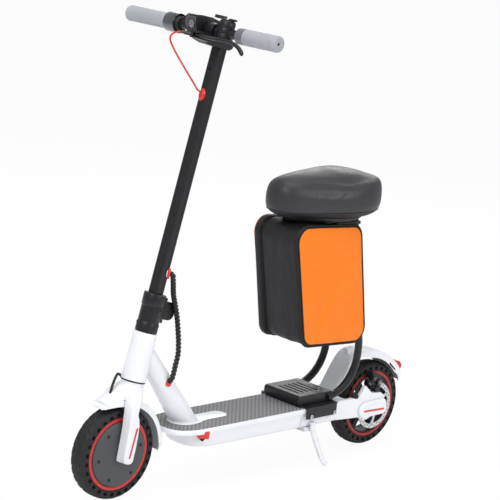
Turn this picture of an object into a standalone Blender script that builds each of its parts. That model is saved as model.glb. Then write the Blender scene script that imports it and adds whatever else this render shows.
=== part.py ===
"""Electric scooter with a bent-tube seat post, padded saddle and storage bag.

Metres, +Z up, +X forward, +Y to the rider's left, ground at z = 0.
"""
import math

import bmesh
import bpy
from mathutils import Matrix, Vector

# Driving dimensions

GAP = 0.0003
TYRE_R = 0.108
TYRE_HEIGHT = 0.0227
TYRE_HALF = 0.0230
CROWN_HALF = 0.0105
RIM_R = TYRE_R - TYRE_HEIGHT
RIM_HALF = 0.0200
TYRE_HOLES = 16
HOLE_R = 0.0036
FRONT_X = 0.438
REAR_X = -0.400
AXLE_Z = 0.108
AXLE_R = 0.005
LEAN = math.radians(12.73)
STEER_X = FRONT_X - 0.0068
CENTRE_SHIFT = -0.0110

DECK_TOP = 0.1478
MAT_TOP = DECK_TOP + 0.0020
DECK_BOTTOM = 0.099
DECK_HALF = 0.072
DECK_FRONT = FRONT_X - 0.136
DECK_REAR = -0.231
DECK_NOSE = 0.112
NOSE_POWER = 3.0
MAT_HALF = DECK_HALF - 0.0046
ISLAND_TIP = DECK_FRONT - 0.207
ISLAND_HALF = 0.021
COVER_T = 0.003

HEAD_R = 0.025
HEAD_LOW = 0.1660
HEAD_HIGH = 0.2770
STEERER_R = 0.0165
BORE_R = STEERER_R + 0.0007
BLOCK_HIGH = HEAD_HIGH + 0.0895
STEM_SIDE = 0.0278
STEM_CORNER = 0.0065
STEM_HIGH = 0.9288

MUDGUARD_RISE = 0.020
MUDGUARD_R = TYRE_R + MUDGUARD_RISE
MUDGUARD_T = 0.003
MUDGUARD_HALF = TYRE_HALF + 0.006
LEG_IN = MUDGUARD_HALF + 0.0015
LEG_OUT = LEG_IN + 0.0250
COVER_IN = LEG_IN + 0.0137
COVER_OUT = LEG_OUT + 0.0010

BAR_X = 0.067
BAR_Z = 0.960
BAR_R = 0.0105
BAR_END = 0.2330
GRIP_R = 0.0178
GRIP_LEFT = 0.1390
GRIP_RIGHT = -0.1070
GRIP_END = 0.2380
HULL_HALF = 0.0175

LOOM_R = 0.00525
LOOM_GROOVE = 0.0043
LOOM_PITCH = 0.0088
CABLE_R = 0.0023

ARM_IN = 0.0520
ARM_OUT = 0.0645
ROTOR_R = 0.060
ROTOR_Y = 0.037
ROTOR_T = 0.002

CLAMP_FRONT = -0.100
CLAMP_REAR = -0.211
CLAMP_HALF = DECK_HALF - 0.0105
SKIRT_IN = DECK_HALF + 0.0033
SKIRT_OUT = SKIRT_IN + 0.0047
SKIRT_LOW = DECK_TOP - 0.0233
FLANGE_T = 0.003
BOX_RISE = 0.0249

POST_R = 0.0095
POST_Y = 0.0535
POST_ARC = 0.100
POST_BACK = -0.2962
POST_LEAN = math.radians(12.0)
PAN_LOW = 0.6045
PAN_T = 0.010

BAG_CORNER = 0.030
BAG_RIM = 0.008
BAG_SIDE = 0.0680
BAG_FAR = 0.0765
BAG_WALL = 0.004
BAG_SPLIT = -POST_Y
PANEL_T = 0.0035

STAND_R = 0.0065
STAND_Y = DECK_HALF + 0.0025
FOOT = (-0.1795, STAND_Y + 0.0200)
FOOT_RISE = 0.0048

TURN = 32
ROUND = 16

WHITE = (0.86, 0.87, 0.89)
BLACK = (0.018, 0.018, 0.020)
GREY = (0.30, 0.31, 0.33)
RED = (0.80, 0.035, 0.03)


# Helpers

for item in list(bpy.data.objects):
    bpy.data.objects.remove(item, do_unlink=True)


root = bpy.data.objects.new("frame_root", None)
root.location = (CENTRE_SHIFT, 0.0, TYRE_R - AXLE_Z)
bpy.context.scene.collection.objects.link(root)


def material(name, colour, rough=0.5, metal=0.0):
    mat = bpy.data.materials.new(name)
    mat.use_nodes = True
    shader = mat.node_tree.nodes["Principled BSDF"]
    shader.inputs["Base Color"].default_value = (*colour, 1.0)
    shader.inputs["Roughness"].default_value = rough
    shader.inputs["Metallic"].default_value = metal
    mat.diffuse_color = (*colour, 1.0)
    return mat


def empty(name, location, rotation=(0.0, 0.0, 0.0), parent=None):
    obj = bpy.data.objects.new(name, None)
    obj.location = location
    obj.rotation_euler = rotation
    obj.parent = parent
    bpy.context.scene.collection.objects.link(obj)
    return obj


def link(name, data, colour, rough, metal, parent, location, rotation):
    obj = bpy.data.objects.new(name, data)
    bpy.context.scene.collection.objects.link(obj)
    data.materials.append(material(name, colour, rough, metal))
    obj.parent = parent or root
    obj.location = location
    obj.rotation_euler = rotation
    return obj


def solid(name, bm, colour, rough=0.5, metal=0.0, parent=None, location=(0, 0, 0),
          rotation=(0, 0, 0), sharp=32.0):
    """Named object from a mesh under construction, smooth where its faces turn gently."""
    mesh = bpy.data.meshes.new(name)
    bmesh.ops.recalc_face_normals(bm, faces=bm.faces)
    bm.to_mesh(mesh)
    bm.free()
    mesh.shade_smooth()
    mesh.set_sharp_from_angle(angle=math.radians(sharp))
    return link(name, mesh, colour, rough, metal, parent, location, rotation)


def tool(target, name, bm, operation):
    """Hidden body that is added to or cut from the target."""
    mesh = bpy.data.meshes.new(name)
    bmesh.ops.recalc_face_normals(bm, faces=bm.faces)
    bm.to_mesh(mesh)
    bm.free()
    obj = bpy.data.objects.new(name, mesh)
    bpy.context.scene.collection.objects.link(obj)
    obj.parent = target.parent
    obj.location = target.location
    obj.rotation_euler = target.rotation_euler
    obj.hide_render = True
    obj.display_type = "WIRE"
    step = target.modifiers.new(name, "BOOLEAN")
    step.operation = operation
    step.solver = "EXACT"
    step.object = obj
    return obj


def cut(target, name, bm):
    return tool(target, name, bm, "DIFFERENCE")


def join(target, name, bm):
    return tool(target, name, bm, "UNION")


def bevel(obj, width, segments=2, angle=50.0):
    step = obj.modifiers.new("edges", "BEVEL")
    step.width = width
    step.segments = segments
    step.limit_method = "ANGLE"
    step.angle_limit = math.radians(angle)
    step.harden_normals = False
    return step


def skin(loops, around=False):
    """Closed skin through loops of equal count; open runs get flat ends."""
    bm = bmesh.new()
    rings = []
    for loop in loops:
        rings.append([bm.verts.new(point) for point in loop])
    total = len(rings)
    last = total if around else total - 1
    for i in range(last):
        first = rings[i]
        second = rings[(i + 1) % total]
        count = len(first)
        for j in range(count):
            k = (j + 1) % count
            bm.faces.new((first[j], first[k], second[k], second[j]))
    if not around:
        bm.faces.new(rings[0])
        bm.faces.new(rings[-1])
    bmesh.ops.recalc_face_normals(bm, faces=bm.faces)
    return bm


def together(*parts):
    """One mesh that holds several bodies."""
    whole = bmesh.new()
    for part in parts:
        mesh = bpy.data.meshes.new("piece")
        bmesh.ops.recalc_face_normals(part, faces=part.faces)
        part.to_mesh(mesh)
        part.free()
        whole.from_mesh(mesh)
        bpy.data.meshes.remove(mesh)
    return whole


def axis_point(axis, along, u, v):
    """Point at a height along an axis and two offsets across it."""
    if axis == "X":
        return Vector((along, u, v))
    if axis == "Y":
        return Vector((u, along, v))
    return Vector((u, v, along))


def turned(profile, axis="Z", centre=(0, 0, 0), count=ROUND):
    """Solid of revolution from (radius, height) rows with flat round ends."""
    base = Vector(centre)
    loops = []
    for radius, height in profile:
        loop = []
        for i in range(count):
            angle = 2.0 * math.pi * (i + 0.5) / count
            loop.append(base + axis_point(axis, height, radius * math.cos(angle),
                                          radius * math.sin(angle)))
        loops.append(loop)
    return skin(loops)


def ring(profile, axis="Z", centre=(0, 0, 0), count=ROUND):
    """Ring whose closed section is given as (radius, height) rows."""
    base = Vector(centre)
    loops = []
    for i in range(count):
        angle = 2.0 * math.pi * (i + 0.5) / count
        loop = []
        for radius, height in profile:
            loop.append(base + axis_point(axis, height, radius * math.cos(angle),
                                          radius * math.sin(angle)))
        loops.append(loop)
    return skin(loops, around=True)


def prism(outline, low, high, axis="Y"):
    """Straight solid on a flat outline across the axis."""
    loops = []
    for along in (low, high):
        loops.append([axis_point(axis, along, u, v) for u, v in outline])
    return skin(loops)


def box(x0, x1, y0, y1, z0, z1):
    return prism([(x0, z0), (x1, z0), (x1, z1), (x0, z1)], y0, y1)


def cylinder(radius, start, end, count=ROUND):
    """Round bar between two points."""
    a = Vector(start)
    b = Vector(end)
    along = (b - a).normalized()
    side = along.orthogonal().normalized()
    other = along.cross(side)
    loops = []
    for centre in (a, b):
        loop = []
        for i in range(count):
            angle = 2.0 * math.pi * (i + 0.5) / count
            loop.append(centre + side * radius * math.cos(angle) + other * radius * math.sin(angle))
        loops.append(loop)
    return skin(loops)


def rounded(points, radius, steps=4):
    """Outline with its corners rounded; the radius may be given per corner."""
    radii = radius if isinstance(radius, (list, tuple)) else [radius] * len(points)
    result = []
    total = len(points)
    for i in range(total):
        here = Vector(points[i])
        before = Vector(points[i - 1]) - here
        after = Vector(points[(i + 1) % total]) - here
        if radii[i] <= 0.0:
            result.append((here.x, here.y))
            continue
        half = before.angle(after) / 2.0
        reach = radii[i] / math.tan(half)
        reach = min(reach, 0.49 * before.length, 0.49 * after.length)
        r = reach * math.tan(half)
        start = here + before.normalized() * reach
        end = here + after.normalized() * reach
        middle = here + (before.normalized() + after.normalized()).normalized() * (r / math.sin(half))
        for k in range(steps + 1):
            t = k / steps
            arm = (start - middle).lerp(end - middle, t)
            if arm.length > 1e-9:
                arm = arm.normalized() * r
            point = middle + arm
            result.append((point.x, point.y))
    return result


def oval(x, y, a, b, power, z, count=24, plane=None):
    """Superellipse loop; the plane turns (forward, side) into a point."""
    loop = []
    for i in range(count):
        angle = 2.0 * math.pi * (i + 0.5) / count
        c = math.cos(angle)
        s = math.sin(angle)
        u = x + a * math.copysign(abs(c) ** (2.0 / power), c)
        v = y + b * math.copysign(abs(s) ** (2.0 / power), s)
        loop.append(plane(u, v, z) if plane else Vector((u, v, z)))
    return loop


def smooth_path(points, spacing):
    """Even points on a smooth curve through the route points."""
    route = [Vector(p) for p in points]
    full = [route[0] * 2.0 - route[1]] + route + [route[-1] * 2.0 - route[-2]]
    fine = []
    for i in range(1, len(full) - 2):
        p0, p1, p2, p3 = full[i - 1:i + 3]
        for k in range(40):
            t = k / 40.0
            fine.append(0.5 * (2.0 * p1 + (p2 - p0) * t
                               + (2.0 * p0 - 5.0 * p1 + 4.0 * p2 - p3) * t * t
                               + (3.0 * p1 - p0 - 3.0 * p2 + p3) * t * t * t))
    fine.append(route[-1])
    lengths = [0.0]
    for i in range(1, len(fine)):
        lengths.append(lengths[-1] + (fine[i] - fine[i - 1]).length)
    count = max(2, int(round(lengths[-1] / spacing)))
    result = []
    j = 0
    for k in range(count + 1):
        want = lengths[-1] * k / count
        while j < len(lengths) - 2 and lengths[j + 1] < want:
            j += 1
        span = lengths[j + 1] - lengths[j]
        t = 0.0 if span < 1e-12 else (want - lengths[j]) / span
        result.append(fine[j].lerp(fine[j + 1], min(1.0, t)))
    return result


def tube(name, points, radius, colour, rough=0.4, metal=0.0, parent=None, resolution=3, radii=None,
         location=(0, 0, 0)):
    """Round tube along a line of points with flat filled ends."""
    curve = bpy.data.curves.new(name, "CURVE")
    curve.dimensions = "3D"
    curve.bevel_depth = radius
    curve.bevel_resolution = resolution
    curve.use_fill_caps = True
    curve.render_resolution_u = 0
    spline = curve.splines.new("POLY")
    spline.points.add(len(points) - 1)
    for i, point in enumerate(points):
        spline.points[i].co = (*point, 1.0)
        spline.points[i].radius = radii[i] if radii else 1.0
    return link(name, curve, colour, rough, metal, parent, location, (0, 0, 0))


def steer_frame(point):
    """World point given in the steering frame."""
    x, y, z = point
    return Vector((x * math.cos(LEAN) - z * math.sin(LEAN) + STEER_X, y,
                   x * math.sin(LEAN) + z * math.cos(LEAN) + AXLE_Z))


def to_steer(point):
    """Steering-frame point given in the world."""
    dx = point[0] - STEER_X
    dz = point[2] - AXLE_Z
    return Vector((dx * math.cos(LEAN) + dz * math.sin(LEAN), point[1],
                   -dx * math.sin(LEAN) + dz * math.cos(LEAN)))


AXLE_S = to_steer((FRONT_X, 0.0, AXLE_Z))
steering = empty("steering_axis", (STEER_X, 0.0, AXLE_Z), (0.0, -LEAN, 0.0), root)


# Wheels

def tyre(name, x):
    bead = RIM_R + GAP
    profile = [(bead, -RIM_HALF + 0.002), (bead + 0.006, -TYRE_HALF),
               (TYRE_R - 0.009, -TYRE_HALF + 0.0015), (TYRE_R - 0.002, -TYRE_HALF + 0.0065),
               (TYRE_R, -CROWN_HALF), (TYRE_R, CROWN_HALF),
               (TYRE_R - 0.002, TYRE_HALF - 0.0065), (TYRE_R - 0.009, TYRE_HALF - 0.0015),
               (bead + 0.006, TYRE_HALF), (bead, RIM_HALF - 0.002)]
    obj = solid(name, ring(profile, "Y", count=TURN), BLACK, 0.85, location=(x, 0, AXLE_Z), sharp=50)
    holes = []
    for i in range(TYRE_HOLES):
        angle = 2.0 * math.pi * i / TYRE_HOLES
        r = bead + 0.0085
        holes.append(turned([(HOLE_R, -TYRE_HALF - 0.004), (HOLE_R, TYRE_HALF + 0.004)], "Y",
                            (r * math.cos(angle), 0, r * math.sin(angle)), 6))
    cut(obj, name + "_holes", together(*holes))
    return obj


tyre("front_tyre", FRONT_X)
tyre("rear_tyre", REAR_X)

MOTOR_FACE = 0.0265
RIM_T = 0.0063
ring_in = RIM_R - RIM_T
motor_profile = [(AXLE_R, -LEG_IN - 0.0095), (AXLE_R, -MOTOR_FACE - 0.0020), (0.024, -MOTOR_FACE - 0.0020),
                 (0.026, -MOTOR_FACE), (ring_in - 0.0090, -MOTOR_FACE + 0.0005),
                 (ring_in - GAP, -MOTOR_FACE + 0.0035), (ring_in - GAP, MOTOR_FACE - 0.0035),
                 (ring_in - 0.0090, MOTOR_FACE - 0.0005), (0.026, MOTOR_FACE),
                 (0.024, MOTOR_FACE + 0.0020), (AXLE_R, MOTOR_FACE + 0.0020), (AXLE_R, LEG_IN + 0.0095)]
solid("hub_motor", turned(motor_profile, "Y", count=TURN), GREY, 0.45, 0.3, location=(FRONT_X, 0, AXLE_Z))
rim_profile = [(ring_in, -RIM_HALF - 0.001), (RIM_R - 0.001, -RIM_HALF - 0.001), (RIM_R, -RIM_HALF),
               (RIM_R, RIM_HALF), (RIM_R - 0.001, RIM_HALF + 0.001), (ring_in, RIM_HALF + 0.001)]
solid("front_rim_ring", ring(rim_profile, "Y", count=TURN), RED, 0.35, location=(FRONT_X, 0, AXLE_Z))

RIM_IN = RIM_R - 0.0123
rear_profile = [(RIM_IN, -RIM_HALF - 0.001), (RIM_R - 0.001, -RIM_HALF - 0.001), (RIM_R, -RIM_HALF),
                (RIM_R, RIM_HALF), (RIM_R - 0.001, RIM_HALF + 0.001), (RIM_IN, RIM_HALF + 0.001)]
rear_rim = solid("rear_rim", ring(rear_profile, "Y", count=TURN), BLACK, 0.4, 0.3,
                 location=(REAR_X, 0, AXLE_Z))
star = []
SPOKES = 6
for i in range(SPOKES):
    base = 2.0 * math.pi * i / SPOKES
    for r, half in ((RIM_IN + 0.0045, -0.0070), (RIM_IN + 0.0045, 0.0070), (0.030, 0.0095)):
        side = half / r
        star.append((r * math.cos(base + side), r * math.sin(base + side)))
    gap_angle = base + math.pi / SPOKES
    star.append((0.024 * math.cos(gap_angle), 0.024 * math.sin(gap_angle)))
    nxt = 2.0 * math.pi * (i + 1) / SPOKES
    side = -0.0095 / 0.030
    star.append((0.030 * math.cos(nxt + side), 0.030 * math.sin(nxt + side)))
join(rear_rim, "rear_spokes", prism(star, -0.009, 0.009))
hub_side = ROTOR_Y + 0.5 * ROTOR_T
hub_profile = [(AXLE_R, -ARM_OUT + 0.003), (AXLE_R, -0.040), (0.013, -0.040), (0.014, -0.024),
               (0.018, -0.020),
               (0.018, 0.020), (0.0155, 0.024), (0.0155, hub_side), (0.011, hub_side + 0.003),
               (AXLE_R, hub_side + 0.003), (AXLE_R, ARM_OUT - 0.003)]
join(rear_rim, "rear_hub", turned(hub_profile, "Y", count=ROUND))

rotor_profile = [(0.0155 + GAP, ROTOR_Y - 0.5 * ROTOR_T), (ROTOR_R, ROTOR_Y - 0.5 * ROTOR_T),
                 (ROTOR_R, ROTOR_Y + 0.5 * ROTOR_T), (0.0155 + GAP, ROTOR_Y + 0.5 * ROTOR_T)]
rotor = solid("brake_rotor", ring(rotor_profile, "Y", count=TURN), (0.6, 0.6, 0.62), 0.25, 1.0,
              location=(REAR_X, 0, AXLE_Z))
windows = []
for i in range(6):
    mid = 2.0 * math.pi * i / 6
    outline = []
    for k in range(4):
        a = mid - 0.36 + 0.24 * k
        outline.append((0.048 * math.cos(a), 0.048 * math.sin(a)))
    for k in range(2):
        a = mid + 0.24 - 0.48 * k
        outline.append((0.026 * math.cos(a), 0.026 * math.sin(a)))
    windows.append(prism(outline, ROTOR_Y - 0.01, ROTOR_Y + 0.01))
cut(rotor, "rotor_windows", together(*windows))


# Deck

def deck_loop(half, front, nose, z, rear=DECK_REAR):
    """Deck outline in plan: square rear, rounded front."""
    loop = [Vector((rear, -half, z)), Vector((rear, half, z)), Vector((-0.06, half, z)),
            Vector((front - nose, half, z))]
    for k in range(1, 16):
        angle = math.pi * k / 16.0
        s = abs(math.sin(angle)) ** (2.0 / NOSE_POWER)
        c = math.copysign(abs(math.cos(angle)) ** (2.0 / NOSE_POWER), math.cos(angle))
        loop.append(Vector((front - nose + nose * s, half * c, z)))
    loop.append(Vector((front - nose, -half, z)))
    loop.append(Vector((-0.06, -half, z)))
    return loop


def island_outline(extra):
    """Outline of the raised island that the neck stands on."""
    wide = 0.0335
    upper = []
    for k in range(5):
        angle = math.pi * 0.5 * k / 4
        upper.append((ISLAND_TIP + ISLAND_HALF - (ISLAND_HALF + extra) * math.cos(angle),
                      (ISLAND_HALF + extra) * math.sin(angle)))
    upper.append((DECK_FRONT - 0.137, ISLAND_HALF + extra))
    upper.append((DECK_FRONT - 0.120, ISLAND_HALF + 0.0020 + extra))
    upper.append((DECK_FRONT - 0.103, ISLAND_HALF + 0.0080 + extra))
    upper.append((DECK_FRONT - 0.089, wide - 0.0010 + extra))
    for k in range(6):
        angle = math.pi * 0.5 * (1.0 - k / 5.0)
        ahead = (0.038 + extra) * math.cos(angle)
        upper.append((DECK_FRONT - 0.076 + ahead, (wide + extra) * math.sin(angle)))
    lower = [(x, -y) for x, y in upper[1:-1]]
    return upper + lower[::-1]


SIDE_HALF = DECK_HALF - 0.0048
SIDE_FRONT = DECK_FRONT - 0.0340
SIDE_HIGH = DECK_TOP - 0.0193
side_tall = SIDE_HIGH - DECK_BOTTOM
DECK_LEVELS = ((DECK_BOTTOM, 0.0130, 0.082), (DECK_BOTTOM + 0.0015, 0.0100, 0.071),
               (DECK_BOTTOM + 0.20 * side_tall, 0.0065, 0.058),
               (DECK_BOTTOM + 0.54 * side_tall, 0.0055, 0.044), (SIDE_HIGH, 0.0048, 0.034),
               (SIDE_HIGH + 0.0015, 0.0020, 0.012), (DECK_TOP - 0.0148, 0.0, 0.002),
               (DECK_TOP - 0.0048, 0.0, 0.0), (DECK_TOP - 0.0015, 0.001, 0.001), (DECK_TOP, 0.003, 0.003))
loops = [deck_loop(DECK_HALF - narrow, DECK_FRONT - short, DECK_NOSE - 0.004, z)
         for z, narrow, short in DECK_LEVELS]
deck = solid("deck_shell", skin(loops), WHITE, 0.3, sharp=25)
join(deck, "deck_island", prism(island_outline(0.0), DECK_TOP - 0.001, MAT_TOP, "Z"))
WELL_HALF = DECK_HALF - 0.0180
WELL_REAR = DECK_REAR + 0.016
WELL_FRONT = DECK_FRONT - 0.107
WELL_TOP = DECK_TOP - 0.0048
cut(deck, "deck_well", box(WELL_REAR, WELL_FRONT, -WELL_HALF, WELL_HALF, DECK_BOTTOM - 0.01, WELL_TOP))

cover_low = DECK_BOTTOM + 0.0005
solid("deck_bottom_cover", box(WELL_REAR + GAP, WELL_FRONT - GAP, -WELL_HALF + GAP, WELL_HALF - GAP,
                               cover_low, cover_low + COVER_T), (0.10, 0.10, 0.11), 0.6)
pack_low = cover_low + COVER_T + GAP
pack_half = WELL_HALF - 0.0040
pack_high = WELL_TOP - 0.0015
pack_section = rounded([(-pack_half, pack_low), (pack_half, pack_low), (pack_half, pack_high),
                        (-pack_half, pack_high)], 0.008, 3)
solid("battery_pack", prism(pack_section, WELL_REAR + 0.025, WELL_FRONT - 0.045, "X"),
      (0.05, 0.16, 0.32), 0.5)

MAT_FRONT = DECK_FRONT - 0.0045
mat_bottom = DECK_TOP + GAP
mat_loops = [deck_loop(MAT_HALF, MAT_FRONT, DECK_NOSE - 0.006, z, DECK_REAR + 0.004)
             for z in (mat_bottom, MAT_TOP)]
mat = solid("deck_mat", skin(mat_loops), (0.21, 0.21, 0.22), 0.9)
cut(mat, "mat_cutout", prism(island_outline(GAP), DECK_TOP - 0.005, MAT_TOP + 0.005, "Z"))

PORT_X = DECK_FRONT - 0.0860
PORT_Z = DECK_TOP - 0.0206
side_nose = DECK_NOSE - 0.004
port_u = (PORT_X - (SIDE_FRONT - side_nose)) / side_nose
port_y = SIDE_HALF * (1.0 - port_u ** NOSE_POWER) ** (1.0 / NOSE_POWER) + 0.0010
port_turn = -math.atan(SIDE_HALF / side_nose * port_u ** 2.0 / (1.0 - port_u ** 3.0) ** (2.0 / 3.0))
flap = rounded([(-0.0115, -0.0120), (0.0020, -0.0150), (0.0115, -0.0030), (0.0115, 0.0008),
                (-0.0115, 0.0008)], 0.0012, 2)
solid("charge_port_cover", prism([(x, z) for x, z in flap], 0.0, 0.0024), RED, 0.4,
      location=(PORT_X, port_y, PORT_Z), rotation=(0, 0, port_turn))


# Neck

head = turned([(HEAD_R - 0.0005, HEAD_LOW), (HEAD_R, HEAD_LOW + 0.0006), (HEAD_R, HEAD_HIGH - 0.0006),
               (HEAD_R - 0.0005, HEAD_HIGH)], count=24)
head.transform(Matrix.Translation((STEER_X, 0.0, AXLE_Z)) @ Matrix.Rotation(-LEAN, 4, "Y"))
neck = solid("neck", head, WHITE, 0.3, sharp=30)
upper_end = Vector((STEER_X - 0.0531, 0.0, 0.3429))
lower_mid = Vector((STEER_X - 0.1562, 0.0, 0.2129))
NECK_SHAPE = ((0.00, 0.0221, 0.0211, 0.0), (0.22, 0.0226, 0.0211, 0.0), (0.45, 0.0230, 0.0217, 0.0),
              (0.72, 0.0236, 0.0222, 0.0), (0.90, 0.0240, 0.0227, 0.05), (1.08, 0.0253, 0.0237, 0.25),
              (1.22, 0.0281, 0.0257, 0.55), (1.33, 0.0314, 0.0283, 0.85))
down = lower_mid - upper_end
flat = Vector((0.0, 0.0, -1.0))
neck_loops = []
for t, a, b, turn in NECK_SHAPE:
    centre = upper_end + down * t
    normal = down.normalized().lerp(flat, turn).normalized()
    side = Vector((0.0, 1.0, 0.0))
    along = side.cross(normal).normalized()
    loop = []
    for i in range(24):
        angle = 2.0 * math.pi * (i + 0.5) / 24
        loop.append(centre + along * a * math.cos(angle) + side * b * math.sin(angle))
    neck_loops.append(loop)
foot_z = MAT_TOP + GAP
foot = oval(DECK_FRONT - 0.0758, 0.0, 0.0345, 0.0305, 2.0, foot_z, 24)
direction = (neck_loops[-1][0] - neck_loops[-1][12]).dot(foot[0] - foot[12])
if direction < 0.0:
    foot = foot[12:] + foot[:12]
if (neck_loops[-1][6].y > neck_loops[-1][18].y) != (foot[6].y > foot[18].y):
    foot = [foot[-1 - i] for i in range(24)]
    foot = foot[12:] + foot[:12]
neck_loops.append(foot)
join(neck, "neck_down_tube", skin(neck_loops))
bore = turned([(BORE_R, HEAD_LOW - 0.01), (BORE_R, HEAD_HIGH + 0.01)], count=20)
bore.transform(Matrix.Translation((STEER_X, 0.0, AXLE_Z)) @ Matrix.Rotation(-LEAN, 4, "Y"))
cut(neck, "neck_bore", bore)


# Fork and front mudguard, in the steering frame

def mud_section(half, depth, thick=MUDGUARD_T):
    """U section of a mudguard as (side, outward) rows with zero at its crown."""
    edge = min(0.010, half * 0.4)
    return [(-half, -depth), (-half, -0.0060), (-half + 0.4 * edge, -0.0012), (-half + edge, 0.0),
            (half - edge, 0.0), (half - 0.4 * edge, -0.0012), (half, -0.0060), (half, -depth),
            (half - thick, -depth), (half - thick, -0.0078), (half - thick - 0.35 * edge, -thick - 0.0006),
            (-half + thick + 0.35 * edge, -thick - 0.0006), (-half + thick, -0.0078), (-half + thick, -depth)]


FORK_LEVELS = ((-0.0150, 0.0066, 0.0095, 0.0530, 4.0), (-0.0110, 0.0066, 0.0118, 0.0550, 5.0),
               (0.0300, 0.0095, 0.0125, LEG_OUT, 5.0), (0.0650, 0.0130, 0.0132, LEG_OUT, 5.0),
               (0.1000, 0.0180, 0.0148, 0.0552, 4.5), (0.1180, 0.0190, 0.0175, 0.0535, 4.0),
               (0.1320, 0.0145, 0.0230, 0.0480, 3.4), (0.1440, 0.0080, 0.0265, 0.0385, 2.8),
               (0.1530, 0.0030, 0.0265, 0.0300, 2.3), (0.1590, 0.0005, 0.0252, 0.0256, 2.1),
               (0.1632, 0.0, HEAD_R, HEAD_R, 2.0))
fork = solid("fork", skin([oval(x, 0.0, a, b, power, z, 20) for z, x, a, b, power in FORK_LEVELS]),
             WHITE, 0.3, parent=steering, sharp=30)
cut(fork, "fork_wheel_space", turned([(MUDGUARD_R + GAP, -LEG_IN), (MUDGUARD_R + GAP, LEG_IN)], "Y",
                                     AXLE_S, 48))
SPLIT_X = 0.0184
notch_l = box(-0.03, 0.05, COVER_IN, 0.07, -0.03, 0.0800)
notch_r = box(-0.03, 0.05, -0.07, -COVER_IN, -0.03, 0.0800)
cut(fork, "fork_cover_seats", together(notch_l, notch_r))
cut(fork, "fork_axle_holes", turned([(AXLE_R + GAP, -COVER_IN - 0.01), (AXLE_R + GAP, COVER_IN + 0.01)], "Y",
                                    AXLE_S, ROUND))
join(fork, "steerer", turned([(STEERER_R, 0.1500), (STEERER_R, HEAD_HIGH - 0.0010)], count=20))

cover_line = rounded([(-0.0058, -0.0152), (SPLIT_X, -0.0152), (SPLIT_X + 0.0095, 0.0797), (0.0014, 0.0797)],
                     [0.0100, 0.0100, 0.0015, 0.0015], 4)
for side, tag in ((1.0, "left"), (-1.0, "right")):
    low, high = sorted((side * (COVER_IN + GAP), side * COVER_OUT))
    cover = solid("fork_cover_" + tag, prism(cover_line, low, high), WHITE, 0.3, parent=steering)
    bevel(cover, 0.0030, 2)

front_guard = []
GUARD_START = math.radians(50.5)
GUARD_END = math.radians(172.5)
for k in range(20):
    t = k / 19.0
    angle = GUARD_START + (GUARD_END - GUARD_START) * t
    half = MUDGUARD_HALF
    depth = 0.0150
    if t < 0.16:
        half = MUDGUARD_HALF * (0.62 + 0.38 * math.sin(0.5 * math.pi * t / 0.16))
        depth = 0.0095 + 0.0055 * t / 0.16
    if t > 0.90:
        half = MUDGUARD_HALF * (0.80 + 0.20 * math.cos(0.5 * math.pi * (t - 0.90) / 0.10))
        depth = 0.0150 - 0.0050 * (t - 0.90) / 0.10
    loop = []
    for y, out in mud_section(half, depth):
        r = MUDGUARD_R + out
        loop.append(Vector((AXLE_S.x + r * math.cos(angle), y, AXLE_S.z + r * math.sin(angle))))
    front_guard.append(loop)
solid("front_mudguard", skin(front_guard), WHITE, 0.3, parent=steering, sharp=40)

motor_path = smooth_path([(0.0272, 0, 0.1592), (0.0380, 0, 0.1700), (0.0480, 0, 0.1690), (0.0560, 0, 0.1590),
                          (0.0600, 0, 0.1450), (0.0600, 0, 0.1310), (0.0560, 0, 0.1202)], 0.008)
tube("motor_cable", motor_path, 0.0023, BLACK, 0.5, parent=steering, resolution=2)


# Fold block and its lever

block_low = HEAD_HIGH + GAP
block_profile = [(HEAD_R - 0.0005, block_low), (HEAD_R + 0.0005, block_low + 0.0015),
                 (HEAD_R + 0.0005, HEAD_HIGH + 0.0230), (HEAD_R - 0.0005, HEAD_HIGH + 0.0245),
                 (HEAD_R - 0.0005, HEAD_HIGH + 0.0600), (HEAD_R + 0.0008, HEAD_HIGH + 0.0620),
                 (HEAD_R + 0.0008, BLOCK_HIGH - 0.0010), (HEAD_R - 0.0002, BLOCK_HIGH)]
block = solid("fold_block", turned(block_profile, count=28), BLACK, 0.4, 0.2, parent=steering)
LEVER_AXIS = (-0.0330, -0.0030)
LEVER_Z = HEAD_HIGH + 0.0540
lug_low = box(-0.0400, -0.0200, -0.0090, 0.0030, LEVER_Z - 0.0290, LEVER_Z - 0.0212)
lug_high = box(-0.0400, -0.0200, -0.0090, 0.0030, LEVER_Z + 0.0212, LEVER_Z + 0.0290)
join(block, "lever_lugs", together(lug_low, lug_high))
lever_line = rounded([(-0.0385, -0.0208), (0.0040, -0.0208), (0.0040, 0.0208), (-0.0385, 0.0208)],
                     [0.0160, 0.0030, 0.0030, 0.0170], 4)
lever = solid("fold_lever", prism(lever_line, -0.0055, 0.0055), BLACK, 0.4, 0.2, parent=steering,
              location=(LEVER_AXIS[0], LEVER_AXIS[1], LEVER_Z))
bevel(lever, 0.0012, 1)


# Stem, in the steering frame

def stem_outline():
    """Square tube outline with rounded corners and a shallow groove in each side."""
    half = 0.5 * STEM_SIDE
    groove = 0.0008
    quarter = []
    corner = half - STEM_CORNER
    quarter.append((half, -corner))
    quarter.append((half, 0.0028 - corner))
    quarter.append((half - groove, 0.0034 - corner))
    quarter.append((half - groove, corner - 0.0034))
    quarter.append((half, corner - 0.0028))
    for k in range(4):
        angle = 0.5 * math.pi * k / 4.0
        quarter.append((corner + STEM_CORNER * math.cos(angle), corner + STEM_CORNER * math.sin(angle)))
    points = []
    for turn in range(4):
        c, s = ((1, 0), (0, 1), (-1, 0), (0, -1))[turn]
        for x, y in quarter:
            points.append((x * c - y * s, x * s + y * c))
    return points


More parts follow.
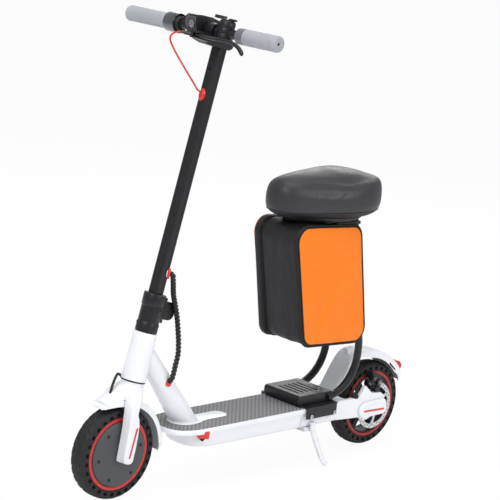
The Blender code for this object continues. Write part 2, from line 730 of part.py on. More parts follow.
stem = solid("stem_tube", prism(stem_outline(), BLOCK_HIGH + GAP, STEM_HIGH, "Z"), BLACK, 0.35, 0.3,
             parent=steering, sharp=25)
face_x = 0.5 * STEM_SIDE
holes = []
for z, r in ((0.9138, 0.0016), (0.9002, 0.0016), (0.8796, 0.0026)):
    holes.append(turned([(r, face_x - 0.006), (r, face_x + 0.006)], "X", (0, 0.001, z), 12))
cut(stem, "stem_holes", together(*holes))

hull_line = [(0.1090, 0.9800), (0.0900, 0.9838), (0.0600, 0.9850), (0.0240, 0.9820), (-0.0080, 0.9660),
             (-0.0255, 0.9420), (-0.0235, 0.9345), (-0.0150, STEM_HIGH + GAP), (0.0200, STEM_HIGH + GAP),
             (0.0500, 0.9292), (0.0700, 0.9330), (0.0900, 0.9410), (0.1035, 0.9600)]
hull = solid("stem_head", prism(rounded(hull_line, 0.004, 2), -HULL_HALF, HULL_HALF), BLACK, 0.35,
             parent=steering)
bevel(hull, 0.0025, 1, 60)
cut(hull, "hull_bore", turned([(BAR_R + GAP, -0.03), (BAR_R + GAP, 0.03)], "Y", (BAR_X, 0, BAR_Z), 24))
lamp_seat = Vector((0.1062, 0.0, 0.9680))
lamp_dir = Vector((1.0, 0.0, -0.27)).normalized()
LAMP_R = 0.0090
pocket = cylinder(LAMP_R + GAP, lamp_seat - lamp_dir * 0.0060, lamp_seat + lamp_dir * 0.02, 20)
cut(hull, "lamp_pocket", pocket)
solid("headlight", cylinder(LAMP_R, lamp_seat - lamp_dir * (0.0060 - GAP), lamp_seat + lamp_dir * 0.0012, 20),
      (0.75, 0.77, 0.80), 0.1, parent=steering)
top_line = [(0.1050, 0.9814), (0.0900, 0.9842), (0.0600, 0.9853), (0.0250, 0.9824), (0.0240, 0.9842),
            (0.0600, 0.9878), (0.0900, 0.9864), (0.1055, 0.9834)]
display = solid("display_cover", prism(top_line, -HULL_HALF + 0.002, HULL_HALF - 0.002), (0.02, 0.02, 0.025),
                0.08, parent=steering)
BUTTON_X = 0.0450
cut(display, "button_hole", turned([(0.0053, 0.97), (0.0053, 1.0)], "Z", (BUTTON_X, 0, 0), 16))
button_low = 0.9846
solid("power_button", turned([(0.0050, button_low + 0.0004), (0.0050, 0.9882), (0.0044, 0.9888)], "Z",
                             (0, 0, -0.9860), 16), (0.25, 0.26, 0.28), 0.4, parent=steering,
      location=(BUTTON_X, 0, 0.9860))

bar_centre = (BAR_X, 0, BAR_Z)
solid("handlebar", turned([(BAR_R, -BAR_END + 0.0), (BAR_R, BAR_END)], "Y", bar_centre, 24), BLACK, 0.3, 0.6,
      parent=steering)
sleeve = BAR_R + GAP
grip_rows = [(sleeve, 0.0), (GRIP_R - 0.0004, 0.0), (GRIP_R, 0.0012)]
for side, start, tag in ((1.0, GRIP_LEFT, "left"), (-1.0, -GRIP_RIGHT, "right")):
    rows = [(r, side * (start + h)) for r, h in grip_rows]
    rows += [(GRIP_R + 0.0004, side * (GRIP_END - 0.0060)), (GRIP_R - 0.0010, side * (GRIP_END - 0.0018)),
             (GRIP_R - 0.0035, side * GRIP_END), (0.0030, side * GRIP_END),
             (0.0030, side * (BAR_END + GAP)), (sleeve, side * (BAR_END + GAP))]
    solid("grip_" + tag, ring(rows, "Y", bar_centre, 16), (0.42, 0.43, 0.46), 0.75, parent=steering)

solid("grip_collar", ring([(sleeve, 0.1180), (0.0168, 0.1180), (0.0178, 0.1195), (0.0178, GRIP_LEFT - GAP),
                           (sleeve, GRIP_LEFT - GAP)], "Y", bar_centre, 16), (0.05, 0.05, 0.055), 0.6,
      parent=steering)
throttle_rows = [(sleeve, GRIP_RIGHT + GAP), (0.0205, GRIP_RIGHT + GAP), (0.0220, GRIP_RIGHT + 0.0020),
                 (0.0220, -0.0715), (0.0212, -0.0705), (0.0194, -0.0715), (0.0194, -0.0890),
                 (sleeve, -0.0890)]
solid("throttle_housing", ring(throttle_rows, "Y", bar_centre, 20), BLACK, 0.12, parent=steering)
thumb_rows = [(sleeve, -0.0885), (0.0180, -0.0885), (0.0180, -0.0720), (0.0150, -0.0640), (sleeve, -0.0640)]
thumb = solid("throttle_lever", ring(thumb_rows, "Y", count=20), BLACK, 0.4, parent=steering,
              location=bar_centre)
paddle = rounded([(-0.0400, -0.0120), (-0.0120, -0.0085), (-0.0120, 0.0020), (-0.0380, -0.0040)], 0.002, 2)
join(thumb, "throttle_paddle", prism(paddle, -0.0700, -0.0580))


# Brake perch, lever and bell

perch = solid("brake_perch", ring([(sleeve, 0.0220), (0.0160, 0.0220), (0.0168, 0.0230), (0.0168, 0.0450),
                                   (0.0160, 0.0460), (sleeve, 0.0460)], "Y", bar_centre, 20), BLACK, 0.3, 0.4,
              parent=steering)
PIVOT = Vector((0.1130, 0.0420, 0.9400))
upper_arm = rounded([(0.0790, 0.9520), (0.0820, 0.9440), (0.1210, 0.9440), (0.1210, 0.9478),
                     (0.1000, 0.9510)], 0.001, 1)
join(perch, "perch_arm", prism(upper_arm, 0.0240, 0.0500))
lower_arm = rounded([(0.0740, 0.9480), (0.0760, 0.9325), (0.1210, 0.9325), (0.1210, 0.9360), (0.0850, 0.9370),
                     (0.0830, 0.9480)], 0.001, 1)
join(perch, "perch_arm_low", prism(lower_arm, 0.0240, 0.0500))
join(perch, "perch_block", box(0.0990, 0.1210, 0.0240, 0.0330, 0.9330, 0.9470))
join(perch, "perch_barrel", cylinder(0.0045, (0.1160, 0.0270, 0.9400), (0.1245, 0.0100, 0.9395), 12))

LEVER_SHAPE = ((0.0, 0.0, 0.0, 0.0055, 0.0036), (0.0020, 0.0120, 0.0, 0.0055, 0.0036),
               (-0.0040, 0.0350, -0.0005, 0.0060, 0.0036), (-0.0100, 0.0640, 0.0010, 0.0065, 0.0040),
               (-0.0120, 0.0920, 0.0000, 0.0060, 0.0042), (-0.0100, 0.1160, -0.0070, 0.0055, 0.0045),
               (-0.0085, 0.1310, -0.0170, 0.0040, 0.0050), (-0.0080, 0.1345, -0.0215, 0.0022, 0.0030))
lever_loops = []
for i, (dx, dy, dz, a, b) in enumerate(LEVER_SHAPE):
    before = Vector(LEVER_SHAPE[max(0, i - 1)][:3])
    after = Vector(LEVER_SHAPE[min(len(LEVER_SHAPE) - 1, i + 1)][:3])
    along = (after - before).normalized()
    side = Vector((1.0, 0.0, 0.0)) - along * along.x
    side.normalize()
    up = side.cross(along)
    loop = []
    for k in range(12):
        angle = 2.0 * math.pi * (k + 0.5) / 12
        loop.append(Vector((dx, dy, dz)) + side * a * math.cos(angle) + up * b * math.sin(angle))
    lever_loops.append(loop)
solid("brake_lever", skin(lever_loops), BLACK, 0.3, 0.5, parent=steering, location=PIVOT)

BELL_Y = 0.0735
BELL_R = 0.0180
bell_rows = [(BELL_R - 0.0010, 0.9440)]
for k in range(3):
    z = 0.9450 + 0.0125 * k
    bell_rows += [(BELL_R, z), (BELL_R, z + 0.0100), (BELL_R - 0.0014, z + 0.0112)]
bell_rows += [(BELL_R, 0.9835), (BELL_R - 0.0030, 0.9870)]
bell = solid("bell", turned(bell_rows, "Z", (BAR_X, BELL_Y, 0), 20), BLACK, 0.3, 0.2, parent=steering)
cut(bell, "bell_bore", turned([(sleeve, 0.04), (sleeve, 0.11)], "Y", bar_centre, 24))
bell_top = 0.9870 + GAP
top = solid("bell_lever", turned([(0.0140, 0.0), (0.0140, 0.0022), (0.0110, 0.0030)], "Z", count=20),
            (0.10, 0.10, 0.11), 0.3, 0.3, parent=steering, location=(BAR_X, BELL_Y, bell_top))
wedge = rounded([(0.0020, -0.0060), (0.0080, -0.0250), (0.0180, -0.0290), (0.0150, -0.0120),
                 (0.0080, 0.0040)], 0.0015, 2)
join(top, "bell_wedge", prism(wedge, 0.0005, 0.0060, "Z"))
tail = rounded([(-0.0060, 0.0060), (-0.0020, 0.0250), (0.0050, 0.0270), (0.0070, 0.0060)], 0.002, 2)
join(top, "bell_tail", prism(tail, 0.0004, 0.0034, "Z"))


# Glands, brake cable and loom

def button(name, length, width, thick, location, rotation, colour, parent):
    """Oval gland that stands on a face, length along its own Z and outward +X."""
    rows = []
    for inset, out in ((0.0, 0.0), (0.0, 0.6 * thick), (0.0012, thick)):
        loop = []
        for k in range(20):
            angle = 2.0 * math.pi * k / 20
            loop.append(Vector((out, (0.5 * width - inset) * math.cos(angle),
                                (0.5 * length - inset) * math.sin(angle))))
        rows.append(loop)
    return solid(name, skin(rows), colour, 0.4, parent=parent, location=location, rotation=rotation)


button("stem_gland_upper", 0.0280, 0.0160, 0.0060, (face_x + GAP, 0.0, 0.8200), (0, 0, 0), RED, steering)


def plug(centre, outward, upward, wide, tall, sink, proud, grow=0.0):
    """Oval plug sunk into a wall, with a rounded outer edge."""
    out = Vector(outward).normalized()
    up = (Vector(upward) - out * out.dot(Vector(upward))).normalized()
    side = up.cross(out)
    rows = [(-sink - grow, 0.0), (proud * 0.6, 0.0), (proud, 0.0013)]
    if grow > 0.0:
        rows = [(-sink - grow, 0.0), (proud * 2.0, 0.0)]
    loops = []
    for along, inset in rows:
        loop = []
        for k in range(20):
            angle = 2.0 * math.pi * k / 20
            loop.append(Vector(centre) + out * along + side * (0.5 * wide + grow - inset) * math.cos(angle)
                        + up * (0.5 * tall + grow - inset) * math.sin(angle))
        loops.append(loop)
    return skin(loops)


corner = 0.5 * STEM_SIDE - STEM_CORNER * (1.0 - math.sqrt(0.5))
PLUG_LOW = ((-corner, corner, 0.4160), (-1.0, 1.0, 0.0), (0.0, 0.0, 1.0), 0.0150, 0.0240, 0.0040, 0.0045)
solid("stem_gland_lower", plug(*PLUG_LOW), RED, 0.4, parent=steering)
cut(stem, "stem_gland_seat", plug(*PLUG_LOW, GAP))
cable_path = smooth_path([(0.1256, 0.0078, 0.9394), (0.1310, -0.0040, 0.9375), (0.1350, -0.0150, 0.9300),
                          (0.1340, -0.0190, 0.9180), (0.1190, -0.0160, 0.9000), (0.0960, -0.0110, 0.8790),
                          (0.0710, -0.0060, 0.8580), (0.0460, -0.0020, 0.8380), (0.0330, 0.0, 0.8275),
                          (0.0207, 0.0, 0.8255)], 0.011)
tube("brake_cable", cable_path, CABLE_R, RED, 0.4, parent=steering, resolution=2)

NECK_PLUG = Vector((STEER_X - 0.1232, 0.0222, 0.2561))
neck_way = Vector((-0.10, 0.55, 0.83)).normalized()
PLUG_NECK = (NECK_PLUG, neck_way, (0.62, 0.0, 0.78), 0.0150, 0.0165, 0.0080, 0.0070)
solid("neck_gland", plug(*PLUG_NECK), RED, 0.4)
cut(neck, "neck_gland_seat", plug(*PLUG_NECK, GAP))

low_way = Vector((-math.cos(LEAN), 1.0, -math.sin(LEAN))).normalized()
low_face = steer_frame((-corner, corner, 0.4160)) + low_way * 0.0045
loom_start = low_face + low_way * 2 * GAP
loom_end = NECK_PLUG + neck_way * (0.0070 + 2 * GAP)
route = [loom_start + low_way * 0.0040, (0.3190, 0.0200, 0.4950),
         (0.3076, 0.0130, 0.4614), (0.2958, 0.0105, 0.4325), (0.2879, 0.0115, 0.4042),
         (0.2841, 0.0140, 0.3764), (0.2828, 0.0180, 0.3491), (0.2856, 0.0230, 0.3226), (0.2950, 0.0275, 0.2970),
         loom_end + neck_way * 0.0140, loom_end + neck_way * 0.0050]
fine = [loom_start] + smooth_path(route, LOOM_PITCH / 2.0) + [loom_end]
radii = []
for i in range(len(fine)):
    end = i < 3 or i > len(fine) - 4
    radii.append(1.0 if end or i % 2 == 0 else LOOM_GROOVE / LOOM_R)
tube("loom", fine, LOOM_R, BLACK, 0.5, resolution=2, radii=radii)


# Rear yoke, mudguard, brake and stand

arm_top = DECK_TOP - 0.0003
yoke_line = [(DECK_REAR - GAP, arm_top), (-0.3092, 0.1480), (-0.3222, 0.1640), (-0.3302, 0.1770),
             (-0.3380, 0.1700), (-0.3580, 0.1525), (-0.3920, 0.1500), (-0.4060, 0.1390), (-0.4115, 0.1080),
             (-0.4080, 0.0990), (-0.3712, 0.0947), (-0.3462, 0.0845), (-0.3182, 0.0950),
             (DECK_REAR - GAP, 0.1005)]
yoke_line = rounded(yoke_line, [0, 0.004, 0.006, 0.004, 0.006, 0.008, 0.008, 0.010, 0.006, 0.006, 0.006,
                                0.006, 0.006, 0], 2)
yoke = solid("rear_yoke", prism(yoke_line, ARM_IN, ARM_OUT), WHITE, 0.3)
bevel(yoke, 0.0020, 1, 60)
SHELF_REAR = -0.268
join(yoke, "yoke_bridge", box(SHELF_REAR, DECK_REAR - GAP, -ARM_IN - 0.001, ARM_IN + 0.001, 0.116, arm_top))
join(yoke, "yoke_right", prism(yoke_line, -ARM_OUT, -ARM_IN))
cut(yoke, "yoke_axle_holes", turned([(AXLE_R + GAP, -0.08), (AXLE_R + GAP, 0.08)], "Y",
                                    (REAR_X, 0, AXLE_Z), ROUND))

shoe_line = rounded([(-0.4075, 0.0965), (-0.3100, 0.0935), (-0.3085, 0.1310), (-0.4060, 0.1370)],
                    [0.012, 0.018, 0.018, 0.014], 4)
for side, tag in ((1.0, "left"), (-1.0, "right")):
    low, high = sorted((side * (ARM_OUT + GAP), side * (ARM_OUT + 0.0085)))
    shoe = solid("axle_cover_" + tag, prism(shoe_line, low, high), WHITE, 0.3)
    bevel(shoe, 0.0028, 2)

guard_route = smooth_path([(-0.2516, 0, DECK_TOP + 0.0051), (-0.2700, 0, 0.1830), (-0.2890, 0, 0.2130),
                           (-0.3080, 0, 0.2380), (-0.3290, 0, 0.2515), (-0.3590, 0, 0.2535),
                           (-0.3870, 0, 0.2510), (-0.4120, 0, 0.2460), (-0.4360, 0, 0.2370),
                           (-0.4580, 0, 0.2250), (-0.4790, 0, 0.2105), (-0.4960, 0, 0.1940),
                           (-0.5080, 0, 0.1750), (-0.5130, 0, 0.1560)], 0.0180)
guard_loops = []
last = len(guard_route) - 1
for k, point in enumerate(guard_route):
    before = guard_route[max(0, k - 1)]
    after = guard_route[min(last, k + 1)]
    along = (after - before).normalized()
    out = Vector((-along.z, 0.0, along.x))
    if out.x * (point.x - REAR_X) + out.z * (point.z - AXLE_Z) < 0.0:
        out = -out
    t = k / last
    half = MUDGUARD_HALF + 0.0005
    depth = 0.0100 + 0.0090 * min(1.0, max(0.0, (t - 0.25) / 0.25))
    if t > 0.70:
        depth = 0.0190 + 0.0080 * (t - 0.70) / 0.30
    if t > 0.88:
        half = half * (0.70 + 0.30 * math.cos(0.5 * math.pi * (t - 0.88) / 0.12))
        depth = 0.0238 * (1.0 - 0.55 * (t - 0.88) / 0.12)
    loop = []
    for y, inward in mud_section(half, depth):
        loop.append(point + Vector((0, y, 0)) + out * inward)
    guard_loops.append(loop)
guard = solid("rear_mudguard", skin(guard_loops), WHITE, 0.3, sharp=40)
join(guard, "mudguard_hook", prism(rounded([(-0.3360, 0.2480), (-0.3140, 0.2420), (-0.3110, 0.2560),
                                            (-0.3330, 0.2620)], 0.003, 2), -0.0080, 0.0080))
light_at = 0.5 * (guard_route[-4] + guard_route[-3])
light_dir = (guard_route[-4] - guard_route[-3]).normalized()
light_out = Vector((light_dir.z, 0.0, -light_dir.x))
if light_out.x > 0.0:
    light_out = -light_out
light = solid("tail_light", prism(rounded([(-0.0130, -0.0125), (0.0130, -0.0150), (0.0130, 0.0150),
                                           (-0.0130, 0.0125)], 0.004, 3), 0.0004, 0.0048, "Z"),
              RED, 0.2, location=light_at + light_out * 0.0006,
              rotation=Vector((0, 0, 1)).rotation_difference(light_out).to_euler())
bevel(light, 0.0010, 1)

calip = rounded([(-0.4020, 0.1560), (-0.3680, 0.1560), (-0.3620, 0.1680), (-0.3680, 0.1930),
                 (-0.3830, 0.1980), (-0.4010, 0.1880), (-0.4050, 0.1700)], 0.005, 2)
CALIPER_OUT = ROTOR_Y + 0.0140
caliper = solid("brake_caliper", prism(calip, ROTOR_Y - 0.0100, CALIPER_OUT), BLACK, 0.35, 0.3)
bevel(caliper, 0.0015, 1, 60)
join(caliper, "caliper_lug", box(-0.3880, -0.3720, CALIPER_OUT - 0.001, CALIPER_OUT + 0.009, 0.1520, 0.1640))
cut(caliper, "caliper_slot", box(-0.4200, -0.3500, ROTOR_Y - 0.0025, ROTOR_Y + 0.0025, 0.1400,
                                 AXLE_Z + ROTOR_R + 0.0065))
CALIPER_PIVOT = (-0.3860, 0.0, 0.1850)
arm_shape = rounded([(-0.0070, -0.0070), (0.0070, -0.0070), (0.0240, 0.0150), (0.0170, 0.0200),
                     (-0.0070, 0.0070)], 0.003, 2)
solid("caliper_arm", prism(arm_shape, CALIPER_OUT + GAP, CALIPER_OUT + 0.0030), (0.10, 0.10, 0.11), 0.3, 0.5,
      location=CALIPER_PIVOT)

STAND_PIVOT = Vector((-0.1385, STAND_Y, DECK_BOTTOM - 0.0060))
EAR_OUT = STAND_Y - STAND_R - 0.0004
mount = solid("kickstand_mount", box(-0.1520, -0.1220, 0.0300, EAR_OUT - 0.0036, DECK_BOTTOM - 0.0120,
                                     DECK_BOTTOM - GAP), WHITE, 0.4)
join(mount, "stand_ear", box(-0.1490, -0.1280, EAR_OUT - 0.0086, EAR_OUT, DECK_BOTTOM - 0.0110,
                             DECK_BOTTOM - 0.0008))
leg_route = smooth_path([(0.0025, 0.0, 0.0210), (0.0, 0.0, 0.0), (-0.0115, 0.0040, -0.0300),
                         (-0.0220, 0.0100, -0.0560), (-0.0295, 0.0140, -0.0760),
                         (FOOT[0] + 0.0010 - STAND_PIVOT.x, FOOT[1] - STAND_PIVOT.y,
                          FOOT_RISE - root.location.z - STAND_PIVOT.z)],
                        0.012)
tube("kickstand", leg_route, STAND_R, WHITE, 0.35, location=STAND_PIVOT, resolution=3)


# Seat clamp and posts

flange_low = MAT_TOP + GAP
flange_high = flange_low + FLANGE_T
BOX_TOP = flange_high + BOX_RISE
WING_FRONT = CLAMP_FRONT - 0.0090
plan = [(CLAMP_REAR, -SKIRT_OUT), (WING_FRONT, -SKIRT_OUT), (WING_FRONT, -CLAMP_HALF),
        (CLAMP_FRONT, -CLAMP_HALF), (CLAMP_FRONT, CLAMP_HALF), (WING_FRONT, CLAMP_HALF),
        (WING_FRONT, SKIRT_OUT), (CLAMP_REAR, SKIRT_OUT)]
saddle_plate = solid("seat_clamp", prism(rounded(plan, [0, 0, 0.004, 0.004, 0.004, 0.004, 0, 0], 2),
                                         flange_low, flange_high, "Z"), BLACK, 0.4, 0.3)
skirt_left = box(CLAMP_REAR, WING_FRONT, SKIRT_IN, SKIRT_OUT, SKIRT_LOW, flange_high)
skirt_right = box(CLAMP_REAR, WING_FRONT, -SKIRT_OUT, -SKIRT_IN, SKIRT_LOW, flange_high)
join(saddle_plate, "clamp_skirts", together(skirt_left, skirt_right))

BOX_HALF = CLAMP_HALF - 0.0035
nose = CLAMP_FRONT + 0.0060
channel = rounded([(CLAMP_REAR, flange_high + GAP), (nose - 0.0060, flange_high + GAP),
                   (nose, flange_high + 0.32 * BOX_RISE), (nose, BOX_TOP), (CLAMP_REAR, BOX_TOP)],
                  [0, 0.003, 0.006, 0.011, 0], 4)
clamp_box = solid("clamp_box", prism(channel, -BOX_HALF, BOX_HALF), BLACK, 0.4, 0.3)
bevel(clamp_box, 0.0020, 2, 60)
cut(clamp_box, "clamp_hollow", box(CLAMP_REAR + 0.0035, nose - 0.0120, -BOX_HALF + 0.0040, BOX_HALF - 0.0040,
                                   0.1400, BOX_TOP - 0.0030))
slots = []
for i in range(5):
    x = CLAMP_FRONT - 0.0180 - 0.0120 * i
    slots.append(box(x - 0.0024, x + 0.0024, 0.0070, 0.0440, BOX_TOP - 0.008, BOX_TOP + 0.005))
    slots.append(box(x - 0.0024, x + 0.0024, -0.0440, -0.0070, BOX_TOP - 0.008, BOX_TOP + 0.005))
cut(clamp_box, "clamp_slots", together(*slots))

ARC_X = POST_BACK + POST_ARC
ARC_Z = flange_high + 0.0089 + POST_ARC
post_route = []
start_angle = math.asin((ARC_X - (CLAMP_REAR - 0.0024)) / POST_ARC)
for k in range(10):
    angle = start_angle + (0.5 * math.pi - start_angle) * k / 9.0
    post_route.append(Vector((ARC_X - POST_ARC * math.sin(angle), 0, ARC_Z - POST_ARC * math.cos(angle))))
post_route.append(Vector((POST_BACK, 0, 0.2780)))
post_route.append(Vector((POST_BACK + 0.0006, 0, 0.2860)))
post_route.append(Vector((POST_BACK + 0.0016, 0, 0.2940)))
post_base = Vector((POST_BACK + 0.0028, 0, 0.3010))
post_route.append(post_base)
lean_dir = Vector((math.sin(POST_LEAN), 0.0, math.cos(POST_LEAN)))
post_end_z = PAN_LOW - GAP - POST_R * math.sin(POST_LEAN)
for k in range(1, 3):
    post_route.append(post_base + lean_dir * ((post_end_z - post_base.z) / lean_dir.z * k / 2.0))
for side, tag in ((1.0, "left"), (-1.0, "right")):
    tube("seat_tube_" + tag, [p + Vector((0, side * POST_Y, 0)) for p in post_route], POST_R, BLACK, 0.3, 0.3,
         resolution=3)


# Saddle

SEAT_PLAN = ((-0.3110, 0.0), (-0.3090, 0.0300), (-0.3005, 0.0600), (-0.2830, 0.0840), (-0.2560, 0.0990),
             (-0.2230, 0.1050), (-0.1850, 0.1030), (-0.1460, 0.0940), (-0.1080, 0.0820), (-0.0730, 0.0705),
             (-0.0420, 0.0590), (-0.0160, 0.0450), (0.0010, 0.0260), (0.0070, 0.0))
SEAT_MID = -0.1500


def seat_loop(scale, z, shift=0.0, sag=0.0):
    """Plan of the saddle scaled about its middle, raised by sag where it bulges."""
    side = SEAT_PLAN
    full = list(side) + [(x, -y) for x, y in side[1:-1]][::-1]
    loop = []
    for x, y in full:
        px = SEAT_MID + (x - SEAT_MID) * scale[0] + shift
        loop.append(Vector((px, y * scale[1], z + sag * ((x - SEAT_MID) / 0.17) ** 2)))
    return loop


pan_high = PAN_LOW + PAN_T
solid("saddle_pan", skin([seat_loop((0.66, 0.68), PAN_LOW), seat_loop((0.70, 0.71), PAN_LOW + 0.005),
                          seat_loop((0.74, 0.73), pan_high - 0.001), seat_loop((0.74, 0.73), pan_high)]),
      (0.03, 0.03, 0.032), 0.6, sharp=40)
cushion_low = pan_high + GAP
CUSHION = ((0.0, 0.750, 0.730, 0.0), (0.008, 0.850, 0.830, 0.0), (0.018, 0.935, 0.925, 0.0),
           (0.028, 0.990, 0.985, 0.0), (0.038, 1.0, 1.0, 0.0), (0.052, 0.995, 0.998, 0.0),
           (0.065, 0.975, 0.975, -0.002), (0.077, 0.935, 0.925, -0.005), (0.087, 0.875, 0.845, -0.008),
           (0.0940, 0.795, 0.730, -0.010), (0.0980, 0.680, 0.590, -0.011))
CUSHION_TILT = -0.055
cushion_loops = []
for h, sx, sy, back in CUSHION:
    loop = seat_loop((sx, sy), cushion_low + h, back)
    for point in loop:
        point.z += CUSHION_TILT * (point.x - SEAT_MID) * h / 0.1
    cushion_loops.append(loop)
cushion = skin(cushion_loops)
cushion.faces.ensure_lookup_table()
top_face = max(cushion.faces, key=lambda f: f.calc_center_median().z)
bmesh.ops.inset_individual(cushion, faces=[top_face], thickness=0.018, depth=0.0)
bmesh.ops.translate(cushion, verts=top_face.verts, vec=(0, 0, 0.0008))
bmesh.ops.inset_individual(cushion, faces=[top_face], thickness=0.016, depth=0.0)
bmesh.ops.translate(cushion, verts=top_face.verts, vec=(0, 0, -0.0010))
solid("saddle_cushion", cushion, (0.03, 0.03, 0.033), 0.5, sharp=60)


# Bag

BAG_FB = (-0.0829, 0.3100)
BAG_FT = (-0.0173, PAN_LOW - 0.0069)
BAG_RT = (-0.2395, PAN_LOW - 0.0187)
BAG_RB = (-0.2988, 0.2994)
BAG_CORNERS = [BAG_FB, BAG_FT, BAG_RT, BAG_RB]


def grown(points, offsets):
    """Outline whose edges move outward; one offset per edge from each point to the next."""
    total = len(points)
    lines = []
    for i in range(total):
        a = Vector(points[i])
        b = Vector(points[(i + 1) % total])
        d = (b - a).normalized()
        n = Vector((d.y, -d.x))
        lines.append((a + n * offsets[i], d))
    result = []
    for i in range(total):
        p, d = lines[i - 1]
        q, e = lines[i]
        t = ((q.x - p.x) * e.y - (q.y - p.y) * e.x) / (d.x * e.y - d.y * e.x)
        result.append((p.x + d.x * t, p.y + d.y * t))
    return result


face_in = BAG_SIDE - PANEL_T
outer = rounded(grown(BAG_CORNERS, [BAG_RIM] * 4), BAG_CORNER + BAG_RIM, 5)
hollow = rounded(grown(BAG_CORNERS, [BAG_RIM - BAG_WALL, BAG_RIM - BAG_WALL, -0.0180, BAG_RIM - BAG_WALL]),
                 [BAG_CORNER, BAG_CORNER, 0.012, 0.012], 4)
bag = solid("bag_body", prism(outer, BAG_SPLIT + GAP, face_in - GAP), (0.025, 0.025, 0.028), 0.55)
cut(bag, "bag_hollow", prism(hollow, BAG_SPLIT - 0.02, face_in - BAG_WALL))
lid = solid("bag_lid", prism(outer, -BAG_FAR + PANEL_T + GAP, BAG_SPLIT - GAP), (0.025, 0.025, 0.028), 0.55)
for target, side in ((bag, 1.0), (bag, -1.0), (lid, -1.0)):
    low = post_base + Vector((0, side * POST_Y, 0)) - lean_dir * 0.04
    high = post_base + Vector((0, side * POST_Y, 0)) + lean_dir * 0.34
    cut(target, target.name + ("_sleeve_l" if side > 0 else "_sleeve_r"),
        cylinder(POST_R + GAP, low, high, 24))
panel_line = rounded(BAG_CORNERS, BAG_CORNER, 5)
for side, tag, reach_out in ((1.0, "left", BAG_SIDE), (-1.0, "right", BAG_FAR)):
    reach_in = reach_out - PANEL_T
    low, high = sorted((side * reach_in, side * reach_out))
    panel = solid("bag_panel_" + tag, prism(panel_line, low, high), (0.95, 0.22, 0.02), 0.4)
    bevel(panel, 0.0015, 1)
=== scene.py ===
import math

import bmesh
import bpy
from mathutils import Euler, Matrix, Vector, noise


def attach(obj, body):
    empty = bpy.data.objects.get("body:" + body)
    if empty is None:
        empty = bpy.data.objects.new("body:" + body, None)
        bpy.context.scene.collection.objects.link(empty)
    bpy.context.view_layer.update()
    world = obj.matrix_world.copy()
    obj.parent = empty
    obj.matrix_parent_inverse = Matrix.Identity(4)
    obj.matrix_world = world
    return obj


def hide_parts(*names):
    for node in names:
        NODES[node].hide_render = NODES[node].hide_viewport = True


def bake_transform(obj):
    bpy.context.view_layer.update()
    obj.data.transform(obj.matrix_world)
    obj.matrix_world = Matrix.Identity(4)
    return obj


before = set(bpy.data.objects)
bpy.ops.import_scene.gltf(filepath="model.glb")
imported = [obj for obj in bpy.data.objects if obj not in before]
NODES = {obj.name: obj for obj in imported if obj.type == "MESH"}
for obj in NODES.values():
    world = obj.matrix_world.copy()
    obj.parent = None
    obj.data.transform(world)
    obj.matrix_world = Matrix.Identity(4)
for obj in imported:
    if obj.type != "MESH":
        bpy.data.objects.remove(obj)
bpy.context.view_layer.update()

# Sizes shared with the solids, in metres

SHIFT = -0.0110
LEAN = math.radians(12.73)
STEER_X = 0.4312
TYRE_R = 0.108
FRONT_X = 0.438
REAR_X = -0.400
DECK_TOP = 0.1478
BAR_X = 0.067
BAR_Z = 0.960
GRIP_END = 0.2380

WORLD = Matrix.Translation((SHIFT, 0.0, 0.0))
STEER = Matrix.Translation((STEER_X + SHIFT, 0.0, TYRE_R)) @ Matrix.Rotation(-LEAN, 4, "Y")
STEER_IN = STEER.inverted()
FRONT_WHEEL = Matrix.Translation((FRONT_X + SHIFT, 0.0, TYRE_R))
REAR_WHEEL = Matrix.Translation((REAR_X + SHIFT, 0.0, TYRE_R))
ALREADY_PLACED = Matrix.Identity(4)
SIDES = (1.0, -1.0)
TAGS = ((1.0, "left"), (-1.0, "right"))
ACROSS = Vector((0.0, 1.0, 0.0))


# Materials

def add(tree, kind, inputs=None, **values):
    """New node with its properties and the values of its inputs."""
    node = tree.nodes.new(kind)
    for key, value in values.items():
        setattr(node, key, value)
    for key, value in (inputs or {}).items():
        node.inputs[key].default_value = value
    return node


def shader(name, rough=0.5, metal=0.0, coat=0.0, sheen=0.0, specular=0.5):
    mat = bpy.data.materials.new(name)
    mat.use_nodes = True
    main = mat.node_tree.nodes["Principled BSDF"]
    values = {"Roughness": rough, "Metallic": metal, "Coat Weight": coat, "Coat Roughness": 0.12,
              "Sheen Weight": sheen, "Specular IOR Level": specular}
    for key, value in values.items():
        main.inputs[key].default_value = value
    return mat, mat.node_tree, main


def place(tree):
    """Coordinates of the object itself."""
    node = tree.nodes.get("place") or add(tree, "ShaderNodeTexCoord", name="place")
    return node.outputs["Object"]


def cloud(tree, scale, detail=3.0):
    """Noise over the object's own coordinates."""
    node = add(tree, "ShaderNodeTexNoise", {"Scale": scale, "Detail": detail, "Roughness": 0.55})
    tree.links.new(place(tree), node.inputs["Vector"])
    return node.outputs["Fac"]


def remap(tree, value, low, high, out_low=0.0, out_high=1.0):
    node = add(tree, "ShaderNodeMapRange",
               {"From Min": low, "From Max": high, "To Min": out_low, "To Max": out_high})
    tree.links.new(value, node.inputs["Value"])
    return node.outputs["Result"]


def combined(tree, operation, first, second):
    """Result of a math node on two values or links."""
    node = add(tree, "ShaderNodeMath", operation=operation)
    for socket, value in zip(node.inputs, (first, second)):
        if isinstance(value, float):
            socket.default_value = value
        elif value is not None:
            tree.links.new(value, socket)
    return node.outputs["Value"]


def tint(tree, main, share, first, second):
    node = add(tree, "ShaderNodeMix", {"A": (*first, 1.0), "B": (*second, 1.0)}, data_type="RGBA")
    tree.links.new(share, node.inputs["Factor"])
    tree.links.new(node.outputs["Result"], main.inputs["Base Color"])


def relief(tree, main, height, strength, distance):
    node = add(tree, "ShaderNodeBump", {"Strength": strength, "Distance": distance})
    tree.links.new(height, node.inputs["Height"])
    tree.links.new(node.outputs["Normal"], main.inputs["Normal"])


